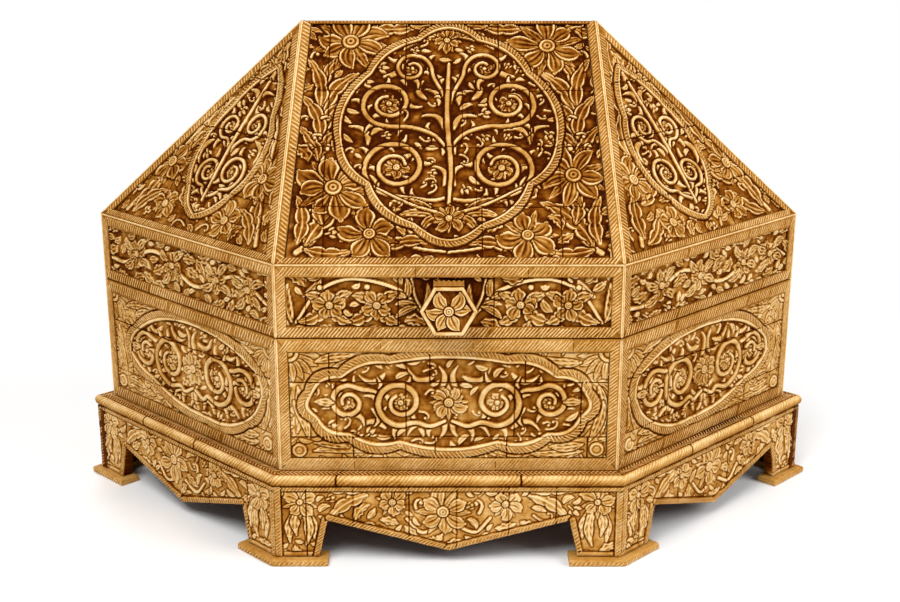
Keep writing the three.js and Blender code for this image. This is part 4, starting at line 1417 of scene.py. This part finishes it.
def wall_carving(face, seed, square_on, hand=1):
    c = Carving(face, GRID, seed)
    c.top[:], c.ditch, c.hollow = 0.62, 0.2, 0.56
    low, high = face.outline.min(0), face.outline.max(0)
    cusps, rises = WALL_RING if square_on else mirrored(*SIDE_WALL_RING, hand)
    for half in halves(c):
        edge = high[0]
        quarter_rosette(c, (half.sign * edge, high[1]), -half.sign, -1)
        for x, y, to_x, to_y in CORNER_LEAVES:
            leaf(c, half.at(edge - x, y), half.at(edge - to_x, to_y), 2.2, 0.06)
        c.mark([half.at(edge - 4.5, low[1] + 4.5)], 3.8, lambda q, share, side, distance:
               1 - 0.4 * ridge(distance - 2.1, 0.4))
    outside = ~inside_of(c, cusps, rises)
    sprinkle(c, outside, 16, 2.2, way=lambda at: 0.0 if c.random.uniform() < 0.5 else math.pi)
    c.clear(~outside)
    c.ditch = 0.0
    garden(c, cusps)
    sprinkle(c, ~outside, 8, 1.2, leafy=0.15, shares=(1, 0.7))
    ring(c, cusps, rises, 2.1, 3.0, "body", 2.1, 40, 0.42)
    return c


GARDEN_PALMETTES = (
    (8, 15, 22, 20, -0.3), (8, -15, 22, -20, 0.3), (34, 17, 48, 16, -0.3), (34, -15, 49, -17, 0.3),
    (57, 11, 67, 4, -0.3), (58, -10, 68, -4, 0.3), (41, 4, 38, 15, 0.3), (41, -4, 40, -14, -0.3),
    (4, 9, 5, 21, 0.2), (4, -9, 5, -21, -0.2),
)


def garden(c, cusps):
    """Coils that rise and fall on both sides of a flower in the middle of a long ring."""
    left, right = min(x for x, _ in cusps), max(x for x, _ in cusps)
    low, high = min(y for _, y in cusps), max(y for _, y in cusps)
    middle, level = (left + right) / 2, (low + high) / 2
    wide, tall = (right - left) / 150, (high - low) / 50
    for half in halves(c, 0.3, middle):
        def place(x, y):
            return x * wide, level + y * tall

        for x, y, to_x, to_y, turn in GARDEN_PALMETTES:
            palmette(c, half.at(*place(x, y)), half.at(*place(to_x, to_y)), 1.25, turn * half.sign)
        scroll(c, half, [place(36, -3), place(39, 6)], place(54, 0), 10.5 * tall, 130, 1.4, -1, 1.4)
        scroll(c, half, [place(2, -11), place(10, -14)], place(26, 0), 14.5 * tall, -125, 1.5, 1, 1.55)
        half.leaves(c, place(62, 0), [place(72, 0)], 2.0, 0.02)
    flower(c, (middle, level), 9, 8, 0.4, 2.6, 2.4)


# %% [markdown]
# ## The band round the lid
#
# Below the roof runs an upright band. Its borders are hatched strips, and its field is sunk between
# them, with flowers under arching stems on the front and back and a running vine on the sides.

# %% The bands
BAND_TOP, BAND_BOTTOM, BAND_STILE, BAND_DROP = 7.0, 6.0, 6.0, 0.8
KNOB_SHADOW, KNOB_SHADOW_REACH = 0.5, 18.0  # painted shadow of the knob on the band, darkest beside it and fading over this reach in mm


def opening_of(face, top, bottom, sides):
    """The opening that borders of given widths leave in a rectangular face."""
    low, high = face.outline.min(0), face.outline.max(0)
    return np.array([(low[0] + sides, low[1] + bottom), (high[0] - sides, low[1] + bottom),
                     (high[0] - sides, high[1] - top), (low[0] + sides, high[1] - top)])


def band_front(c):
    arch = ((9, 133), (16, 141), (25, 150), (40, 155.5), (54, 156), (68, 149), (79, 133))
    for half in halves(c, 0.4):
        stem(c, half.path(*arch), 1.1, 0.8)
        stem(c, half.path((12, 137), (17, 147), (19, 157)), 0.8, 0.6)
        half.leaves(c, (81, 134), [(83, 154)], 3.0, -0.1)
        half.leaves(c, (75, 147), [(66, 157)], 1.9, 0.1)
        half.leaves(c, (17, 142), [(27, 143), (27, 136)], 1.5, 0.1)
        half.leaves(c, (22, 147), [(22, 157), (31, 148)], 1.6, 0.1)
        half.leaves(c, (13, 141), [(11, 154)], 1.3, 0.1)
        for x in (37, 61.5):
            frond(c, half.at(x + 2, 141), half.at(x + 16, 133.5), 3.6, -0.12 * half.sign)
            frond(c, half.at(x - 2, 140), half.at(x - 11, 133), 3.0, 0.14 * half.sign)
            half.leaves(c, (x + 3, 144), [(x + 12, 148)], 2.6, 0.12)
            half.leaves(c, (x - 3, 144), [(x - 11, 149)], 2.6, -0.12)
            flower(c, half.at(x, 142.5), 7.6, 5, c.random.uniform(0, 1), 3.6, 1.9, sepals=False)
            berry(c, half.at(x + 5, 152), 1.4)


def band_side(c):
    low, high = c.face.outline[:, 0].min() + BAND_STILE, c.face.outline[:, 0].max() - BAND_STILE
    running = [(x, 144.5 + 6.5 * math.sin((x + 47) / 38 * math.pi))
               for x in np.linspace(low + 2, high - 2, 12)]
    stem(c, curve(*running), 1.2, 0.9)
    for x in (-47, -12, 30, 57):
        centre = (x, 145 + c.random.uniform(-1.5, 1.5))
        flower(c, centre, 7.6, 5, c.random.uniform(0, 1), 3.6, 1.9, sepals=False)
        for way in (40, 140, 220, 320):
            heading = math.radians(way + c.random.uniform(-15, 15))
            base = (x, 145) + 5 * heading_of(heading)
            tip = base + 11 * np.array([math.cos(heading * 0.95), 0.7 * math.sin(heading)])
            leaf(c, base, tip, 2.1, 0.15)


def band_carving(face, seed, square_on):
    c = Carving(face, GRID, seed)
    (band_front if square_on else band_side)(c)
    sprinkle(c, np.ones(c.u.shape, bool), 12, 2.6, leafy=0.8)
    return c


# %% [markdown]
# ## The aprons
#
# Between the feet, each apron hangs to a point. Its edge is a hatched border, and the carving runs
# over the whole face: a large flower in the middle, and a lily on each leg.

# %% The aprons
APRON_BORDER, APRON_CORNER, APRON_TOP = 3.3, 3.6, 2.4


def apron_carving(face, seed, square_on):
    c = Carving(face, GRID, seed)
    c.top[:], c.ditch, c.hollow = 0.34, 0.04, 0.68
    high, low = face.outline[:, 0].max(), face.outline[:, 1].min()
    leg = high - 14
    for half in halves(c, 0.6):
        for x, y in ((leg - 7, 14), (leg + 6, 12), (leg - 2, 10), (leg + 3, 16)):
            half.leaves(c, (leg, 34), [(x, y)], 2.2, 0.12 * (1 if x > leg else -1), lobes=2)
        frond(c, half.at(leg - 36, 40), half.at(leg - 15, 26), 3.6, 0.1 * half.sign)
        frond(c, half.at(leg - 34, 42), half.at(leg - 9, 42), 3.0, 0.05 * half.sign)
        flower(c, half.at(leg, 36), 9, 5, math.pi / 2, 3.2, 1.6)
        flower(c, half.at(30 if square_on else 33, 35), 8, 5, c.random.uniform(0, 1), 3.2, 1.9)
        stem(c, half.path((4, 22), (14, 18), (22, 26)), 1.1, 0.8)
        curl(c, half.at(16, 30), half.way(60), 9, half.sign, 1.0)
    if square_on:
        flower(c, (-3, 30), 13.5, 6, 0.5, 3.9, 3.1)
    else:
        flower(c, (-7, 32), 12.5, 5, 0.9, 4.4, 2.8)
    sprinkle(c, np.ones(c.u.shape, bool), 12, 2.1)
    for a, b in zip(face.outline, np.roll(face.outline, -1, 0)):
        way = (b - a) / np.linalg.norm(b - a)
        at_corner, at_foot = abs(way[0]) < 0.1 and abs(a[0]) > high - 1, a[1] + b[1] < 2 * low + 1
        wide = APRON_CORNER if at_corner else APRON_TOP if abs(way[0]) > 0.99 else APRON_BORDER
        inward = np.array([-way[1], way[0]])
        start, end = a + inward * wide / 2, b + inward * wide / 2
        c.mark([start, end], wide / 2, lambda q, share, side, distance: 0.82 + 0 * q, moat=0.7,
               stain=0.16 if at_corner else 0.26)
        if not at_foot:
            lean = 38 if abs(way[1]) > 0.7 else 50 + math.degrees(math.atan2(way[1], way[0]))
            hatch(face, start + way * wide * 0.5, end - way * wide * 0.5, wide - 0.4, RELIEF_RIB, 1.9, lean,
                  "body", rise=0.42, full=0.62)
    return c


# %% Carving every face
GRID = 0.55  # mm from one height to the next
HAND = {"front_left": 1, "back_right": 1, "front_right": -1, "back_left": -1}


def carved_piece(name, c, node, body, rows, step, seed, area):
    shape = Shape()
    seams, tones = plates_of(c, rows, step, seed)
    carved(shape, c, RELIEF_GROUND, RELIEF_TOP, RELIEF_BACK, area, seams=seams, tones=tones)
    mesh = shape.mesh(name)
    new_piece(name, mesh, body, [node], bone_carved)
    print(name, "has", sum(len(polygon.vertices) - 2 for polygon in mesh.polygons), "triangles")


for index, side in enumerate(SIDES):
    square_on = side in ("front", "back")
    if square_on:
        c, rows, area = roof_front(roof[side], 100 + index), (34, 72, 110), "roof"
    else:
        c, rows, area = roof_side(roof[side], HAND[side], 100 + index), (30, 66, 100), "slope"
    carved_piece(f"carving_roof_{side}", c, roof[side].node, "lid", rows, 44, 200 + index, area)
    c = wall_carving(wall[side], 300 + index, square_on, HAND.get(side, 1))
    carved_piece(f"carving_wall_{side}", c, wall[side].node, "body", (70, 100.6), 46, 400 + index, "wall")

# %% Bands
for index, side in enumerate(SIDES):
    face, square_on = band[side], side in ("front", "back")
    opening = opening_of(face, BAND_TOP, BAND_BOTTOM, BAND_STILE)
    shape = Shape()
    c = band_carving(face, 500 + index, square_on)
    if side == "front":
        # Painted shadow of the knob on the band, darkest in the middle.
        c.stained += KNOB_SHADOW * ridge(c.u, KNOB_SHADOW_REACH)
    seams, tones = plates_of(c, [], 40, 600 + index)
    carved(shape, c, RELIEF_GROUND - BAND_DROP, -0.5, -2.9, "band", opening, seams, tones)
    face.holes = [opening]
    style = dict(front_style if square_on else side_style)
    style["top"] = (*style["top"][:2], True, 0.5)
    style["bottom"] = (*style["bottom"][:3], 0.6)
    strips(shape, face, style, "lid", 700 + index, (44, 84))
    new_piece(f"band_{side}", shape.mesh(f"band_{side}"), "lid", [face.node], bone_carved)
print("Carved six bands")

# %% Aprons
for index, side in enumerate(SIDES):
    face, square_on = apron[side], side in ("front", "back")
    shape = Shape()
    c = apron_carving(face, 800 + index, square_on)
    seams, tones = plates_of(c, [], 30, 900 + index)
    carved(shape, c, RELIEF_GROUND, -0.1, -6.6, "apron", seams=seams, tones=tones)
    mesh = shape.mesh(f"apron_carving_{side}")
    new_piece(f"apron_carving_{side}", mesh, "body", [face.node], bone_carved)
print("Carved six aprons, with", len(apron["front"].outline), "corners each")

# %% [markdown]
# ## The stand
#
# The ledge takes its outline and height from its CAD piece, and its rounded edge is cut like rope.
# The foot pads are merged copies of theirs, drawn in by the height of a rib, so that the rope
# hatching laid over them ends where the CAD surface is.

# %% The ledge and the pads
RIB_ROOM = 0.4
ROPE_PITCH, ROPE_STEP, ROPE_DEPTH = 2.4, 0.4, 0.34
# The ledge's section: how far in, how high, and the stain, which is painted paler as a highlight
# along the upper curve of the edge and darker as shade towards its foot
ROUNDING = (
    (2.4, 0.0, 0.8), (0.8, 0.85, 0.6), (0.25, 1.75, 0.42), (0.0, 2.8, 0.34), (0.0, 3.8, 0.28),
    (0.25, 4.85, 0.16), (0.8, 5.75, 0.12), (1.6, 6.45, 0.2), (2.3, 6.5, 0.4), (2.7, 6.15, 0.95),
    (3.1, 6.3, 0.68),
)


def rope_ledge(shape, node, joints):
    """A slab whose rounded edge is cut like rope, with joints at given shares of each side."""
    points, _ = merged(node)
    low = points[:, 2].min()
    outline = hull(points[:, :2])
    rings = [drawn_in(outline, inset) for inset, _, _ in ROUNDING]
    sides = len(outline)
    after = np.roll(outline, -1, 0)
    lengths = np.linalg.norm(after - outline, axis=1)
    inward = np.stack([outline[:, 1] - after[:, 1], after[:, 0] - outline[:, 0]], 1) / lengths[:, None]
    counts = (lengths / ROPE_STEP).astype(int)
    rows, stains = [], []
    for k, (inset, rise, stain) in enumerate(ROUNDING):
        row, shade = [], []
        for i in range(sides):
            share = np.arange(counts[i]) / counts[i]
            place = rings[k][i] + share[:, None] * (rings[k][(i + 1) % sides] - rings[k][i])
            travelled = share * lengths[i]
            wander = 0.5 * np.sin(travelled / 3.7 + 5 * i) + 0.4 * np.sin(travelled / 1.9 + i)
            cut = np.cos(2 * np.pi * (travelled + wander - 0.9 * rise) / ROPE_PITCH) * 0.5 + 0.5
            roped = cut**3 * (inset < 2) * (0.7 + 0.3 * np.sin(travelled / 5.3 + 2 * i))
            joint = np.zeros(len(share))
            for at in joints[i]:
                joint = np.maximum(joint, ridge(travelled - at * lengths[i], 0.4))
            place = place + inward[i] * (ROPE_DEPTH * roped + 0.5 * joint)[:, None]
            row.append(np.column_stack([place, np.full(len(share), low + rise)]))
            # The rope's cuts are painted darker as their shade; the joints are dark lines between lengths of
            # bone.
            shade.append(stain + 0.38 * roped + joint)
        rows.append(np.concatenate(row))
        stains.append(np.concatenate(shade))
    around = len(rows[0])
    last = (len(rows) - 1) * around
    faces = []
    for first in range(0, last, around):
        for j in range(around):
            ahead = (j + 1) % around
            faces.append([first + j, first + ahead, first + around + ahead, first + around + j])
    smooth = [True] * len(faces)
    centre = len(rows) * around
    starts = np.concatenate([[0], np.cumsum(counts)])
    for i in range(sides):
        fan = [j % around for j in range(starts[i], starts[i + 1] + 1)]
        faces += [[centre, *fan[::-1]], [centre + 1, *[last + j for j in fan]]]
        smooth += [False, False]
    middle = outline.mean(0)
    ends = np.array([[*middle, low + ROUNDING[0][1]], [*middle, low + ROUNDING[-1][1]]])
    stains = np.concatenate([*stains, [0.8, ROUNDING[-1][2]]])
    shape.add(np.concatenate([*rows, ends]) * MM, faces, stains, 0.0, smooth)


def shrunk(shape, node, by, stain):
    """A closed copy of a CAD piece, with every surface moved inwards."""
    points, triangles = merged(node)
    copy = bmesh.new()
    corners = [copy.verts.new(point) for point in points]
    for triangle in triangles:
        if len(set(triangle)) == 3:
            copy.faces.new([corners[i] for i in triangle])
    copy.normal_update()
    moved = [vertex.co - vertex.normal * by * vertex.calc_shell_factor() for vertex in copy.verts]
    copy.verts.index_update()
    faces = [[vertex.index for vertex in face.verts] for face in copy.faces]
    shape.add(np.array(moved) * MM, faces, stain, 0.0)
    copy.free()


def outer_face(node, side):
    """The upright front of a piece towards one side of the casket."""
    return Face(node, toward=wall[side].n)


def edge_ropes(node, sides):
    """Rope hatching along the upright edges of a slab."""
    lean = 50
    for side in sides:
        face = outer_face(node, side)
        low, high = face.outline.min(0), face.outline.max(0)
        middle, tall = (low[1] + high[1]) / 2, high[1] - low[1] - 0.8
        end = 0.5 * tall / math.tan(math.radians(lean)) + 0.8
        hatch(face, (low[0] + end, middle), (high[0] - end, middle), tall, -RIB_ROOM - 0.03, ROPE_PITCH, lean,
              "body", rise=0.38, full=0.66)


CHEVRONS = ((4.6, 40), (7.2, 140))  # how far in the middle of a row lies, and its slant
shape = Shape()
rope_ledge(shape, "base_board", [(0.3, 0.59), (0.18, 0.706), (0.35, 0.7), (0.25, 0.66), (0.5,), (0.3, 0.74)])
new_piece("ledge", shape.mesh("ledge"), "body", ["base_board"], bone_hatched)
level = merged("base_board")[0][:, 2].max()
for side in SIDES:
    edge = outer_face("base_board", side)
    low, high = edge.outline.min(0), edge.outline.max(0)
    for inset, slant in CHEVRONS:
        ends = edge.at([low[0] + inset * 0.7, high[0] - inset * 0.7], 0, -inset)
        ends[:, 2] = (level - 0.32) * MM
        ribs_of["body"].add(ends, [0, 0, 1], 2.3, 2.7, 0.3, slant, full=0.5)
PAD_SIDES = {"front_right": ("front", "front_right"), "right": ("front_right", "back_right"),
             "back_right": ("back_right", "back"), "back_left": ("back", "back_left"),
             "left": ("back_left", "front_left"), "front_left": ("front_left", "front")}
for corner, sides in PAD_SIDES.items():
    node = f"foot_pad_{corner}"
    shape = Shape()
    shrunk(shape, node, RIB_ROOM, 0.42)
    new_piece(f"pad_{corner}", shape.mesh(f"pad_{corner}"), "body", [node], bone_hatched)
    edge_ropes(node, sides)

# %% [markdown]
# ## The rosette on the front
#
# A six-sided bone plate covers the pull. Its flower has rimmed petals, a ringed centre and a pin.

# %% The rosette
ROSETTE_GRID, ROSETTE_RIM = 0.25, 1.05


def rosette(face):
    c = Carving(face, ROSETTE_GRID, 31)
    c.hollow = 0.62
    middle = (face.outline.min(0) + face.outline.max(0)) / 2
    loop = drawn_in(face.outline, ROSETTE_RIM)
    c.mark([*loop, loop[0]], ROSETTE_RIM, flat_top(0.85))
    for i in range(6):
        way = i * math.pi / 3 + c.random.uniform(-0.07, 0.07)
        petal(c, middle, way, 1.9, 11.4 * c.random.uniform(0.95, 1.02), 3.1, False)
    heart(c, middle, 2.5)
    return c


shape = Shape()
knob = Face("knob_rosette", widest=True)
carved(shape, rosette(knob), -0.9, 0.65, -2.3, "rosette")
new_piece("rosette", shape.mesh("rosette"), "lid", ["knob_rosette"], bone_carved)
print("The rosette spans", np.ptp(knob.outline, 0).round(1), "mm")

# %% All the ribs
ribs_of["body"].piece("rope_hatching_body", "body", "hatched_bone", bone_hatched, 11)
ribs_of["lid"].piece("rope_hatching_lid", "lid", "hatched_bone", bone_hatched, 12)
bpy.data.objects.remove(RIB)

# %% [markdown]
# ## Wood, brass and iron
#
# These parts keep their CAD meshes and only need a finish: the wooden box that the bone is glued
# to, the bone stem of the pull, the brass hinge and its screws, and the iron pin in the rosette.

# %% Finishes for the kept pieces
def plain_bone():
    finish = Finish("plain bone")
    mottle, speck, grain = finish.noise(60, detail=3), finish.noise(420), finish.noise(1, (60, 60, 1300), 3)
    stain = finish.sum_of(0.4, (mottle, 0.5, 0.4), (speck, 0.5, 0.3), (grain, 0.5, 0.3))
    colour = finish.ramp(stain, ((0.1, PALE), (0.4, HONEY), (0.62, AMBER), (0.9, BROWN)))
    return finish.dress(colour, finish.sum_of(0.42, (speck, 0.5, 0.2)), speck, 0.0001)


def wood():
    finish = Finish("wood")
    bands = finish.noise(1, (9, 9, 160), 4)
    pores = finish.noise(1, (240, 240, 2600), 2)
    value = finish.sum_of(bands, (pores, 0.5, 0.35))
    colour = finish.ramp(value, ((0.25, (0.11, 0.048, 0.018)), (0.5, (0.19, 0.092, 0.036)),
                                 (0.8, (0.3, 0.165, 0.072))))
    return finish.dress(colour, finish.sum_of(0.6, (pores, 0.5, 0.25)), value, 0.0002)


def metal(name, bright, dull, roughness):
    finish = Finish(name, metallic=1.0)
    tarnish, scratch = finish.noise(300, detail=4), finish.noise(1, (5000, 400, 400), 2)
    colour = finish.ramp(tarnish, ((0.35, bright), (0.7, dull)))
    uneven = finish.sum_of(roughness, (tarnish, 0.5, 0.4), (scratch, 0.5, 0.15))
    return finish.dress(colour, uneven, tarnish, 0.00005)


def dress_node(node, finish):
    """Gives a kept CAD piece its finish."""
    mesh = nodes[node].data
    if not mesh.materials:
        mesh.materials.append(finish)
    for i in range(len(mesh.materials)):
        mesh.materials[i] = finish


walnut, worn_bone = wood(), plain_bone()
brass = metal("brass", (0.62, 0.42, 0.14), (0.3, 0.17, 0.05), 0.34)
iron = metal("iron", (0.12, 0.11, 0.1), (0.05, 0.04, 0.035), 0.5)
for node in ("body_carcass", "body_floor", "lid_carcass"):
    dress_node(node, walnut)
dress_node("knob_stem", worn_bone)
dress_node("knob_pin", iron)
for node in nodes:
    if node.startswith("hinge"):
        dress_node(node, brass)

# %% [markdown]
# ## Stage, camera and light
#
# The casket stands on a white sweep. Near it the floor catches the soft shadow; further out it is
# plain white, as in a studio. The lamps come from the upper left and from the right, and stay soft.

# %% Floor and world
SWEEP = 8.0
WHITE_FROM, WHITE_AT = 0.3, 0.56  # how far from the casket the floor starts to turn white, and is white


def seen_by_eye(tree):
    """1 for what the camera sees, straight, mirrored or through glass; 0 for light on other surfaces."""
    rays = tree.nodes.new("ShaderNodeLightPath")
    seen = rays.outputs["Is Camera Ray"]
    for kind in ("Is Glossy Ray", "Is Transmission Ray"):
        either = tree.nodes.new("ShaderNodeMath")
        either.operation = "MAXIMUM"
        tree.links.new(seen, either.inputs[0])
        tree.links.new(rays.outputs[kind], either.inputs[1])
        seen = either.outputs[0]
    return seen


def sweep_finish():
    finish = Finish("white sweep", roughness=0.6)
    tree = finish.tree
    away = tree.nodes.new("ShaderNodeVectorMath")
    away.operation = "LENGTH"
    finish.join(finish.place, away.inputs[0])
    far = tree.nodes.new("ShaderNodeMapRange")
    far.interpolation_type = "SMOOTHSTEP"
    far.inputs["From Min"].default_value = WHITE_FROM
    far.inputs["From Max"].default_value = WHITE_AT
    finish.join(away.outputs["Value"], far.inputs["Value"])
    glow = tree.nodes.new("ShaderNodeEmission")
    glow.inputs["Color"].default_value = (1, 1, 1, 1)
    blend = tree.nodes.new("ShaderNodeMixShader")
    finish.join(finish.math("MULTIPLY", far.outputs["Result"], seen_by_eye(tree)), blend.inputs["Fac"])
    finish.join(finish.surface.outputs["BSDF"], blend.inputs[1])
    finish.join(glow.outputs["Emission"], blend.inputs[2])
    finish.join(blend.outputs["Shader"], tree.nodes["Material Output"].inputs["Surface"])
    finish.surface.inputs["Base Color"].default_value = (0.96, 0.96, 0.96, 1)
    return finish.material


def world_light(strength):
    world = bpy.data.worlds.new("studio")
    world.use_nodes = True
    tree = world.node_tree
    light = tree.nodes["Background"]
    light.inputs["Color"].default_value = (1.0, 0.98, 0.95, 1)
    light.inputs["Strength"].default_value = strength
    white = tree.nodes.new("ShaderNodeBackground")
    white.inputs["Color"].default_value = (1, 1, 1, 1)
    blend = tree.nodes.new("ShaderNodeMixShader")
    tree.links.new(seen_by_eye(tree), blend.inputs["Fac"])
    tree.links.new(light.outputs["Background"], blend.inputs[1])
    tree.links.new(white.outputs["Background"], blend.inputs[2])
    tree.links.new(blend.outputs["Shader"], tree.nodes["World Output"].inputs["Surface"])
    bpy.context.scene.world = world


sweep_mesh = bpy.data.meshes.new("sweep")
sweep_corners = [(x * SWEEP, y * SWEEP, 0) for x, y in ((-1, -1), (1, -1), (1, 1), (-1, 1))]
sweep_mesh.from_pydata(sweep_corners, [], [(0, 1, 2, 3)])
sweep = bpy.data.objects.new("sweep", sweep_mesh)
sweep_mesh.materials.append(sweep_finish())
bpy.context.scene.collection.objects.link(sweep)
sweep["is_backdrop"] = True
world_light(0.24)

# %% Camera and lamps
LENS, PITCH, YAW, ROLL = 55.81, math.radians(16.77), math.radians(0.11), math.radians(-0.07)
STANDPOINT = Vector((-0.7, -801.6, 352.4)) * MM
LIT = (0, 0, 0.12)  # where the lamps aim

forward = Vector((math.sin(YAW) * math.cos(PITCH), math.cos(YAW) * math.cos(PITCH), -math.sin(PITCH)))
level = Vector((math.cos(YAW), -math.sin(YAW), 0))
upward = level.cross(forward)
right = level * math.cos(ROLL) - upward * math.sin(ROLL)
upward = level * math.sin(ROLL) + upward * math.cos(ROLL)
camera_lens = bpy.data.cameras.new("camera")
camera_lens.lens = LENS
camera_lens.sensor_width = 36
camera_lens.clip_start, camera_lens.clip_end = 0.01, 50
camera = bpy.data.objects.new("camera", camera_lens)
camera.matrix_world = Matrix.Translation(STANDPOINT) @ Matrix((right, upward, -forward)).transposed().to_4x4()
bpy.context.scene.collection.objects.link(camera)
bpy.context.scene.camera = camera


def lamp(name, place, size, power):
    """A round white lamp that shines on the middle of the casket."""
    light = bpy.data.lights.new(name, "AREA")
    light.shape = "DISK"
    light.size, light.energy = size, power
    stand = bpy.data.objects.new(name, light)
    stand.location = place
    stand.rotation_euler = (Vector(LIT) - Vector(place)).to_track_quat("-Z", "Y").to_euler()
    bpy.context.scene.collection.objects.link(stand)


lamp("key", (-0.5, -1.1, 1.8), 1.3, 36)
lamp("fill", (1.5, -0.8, 1.25), 1.2, 22)
lamp("back", (-0.4, 1.5, 1.3), 1.2, 10)
bpy.context.scene.view_settings.view_transform = "Standard"

# %% Sizes, and the end
visual_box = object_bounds()
for name, box in (("CAD", cad_box), ("visual", visual_box)):
    print(f"The {name} box is", [round(side / MM, 1) for side in box[1] - box[0]], "mm")
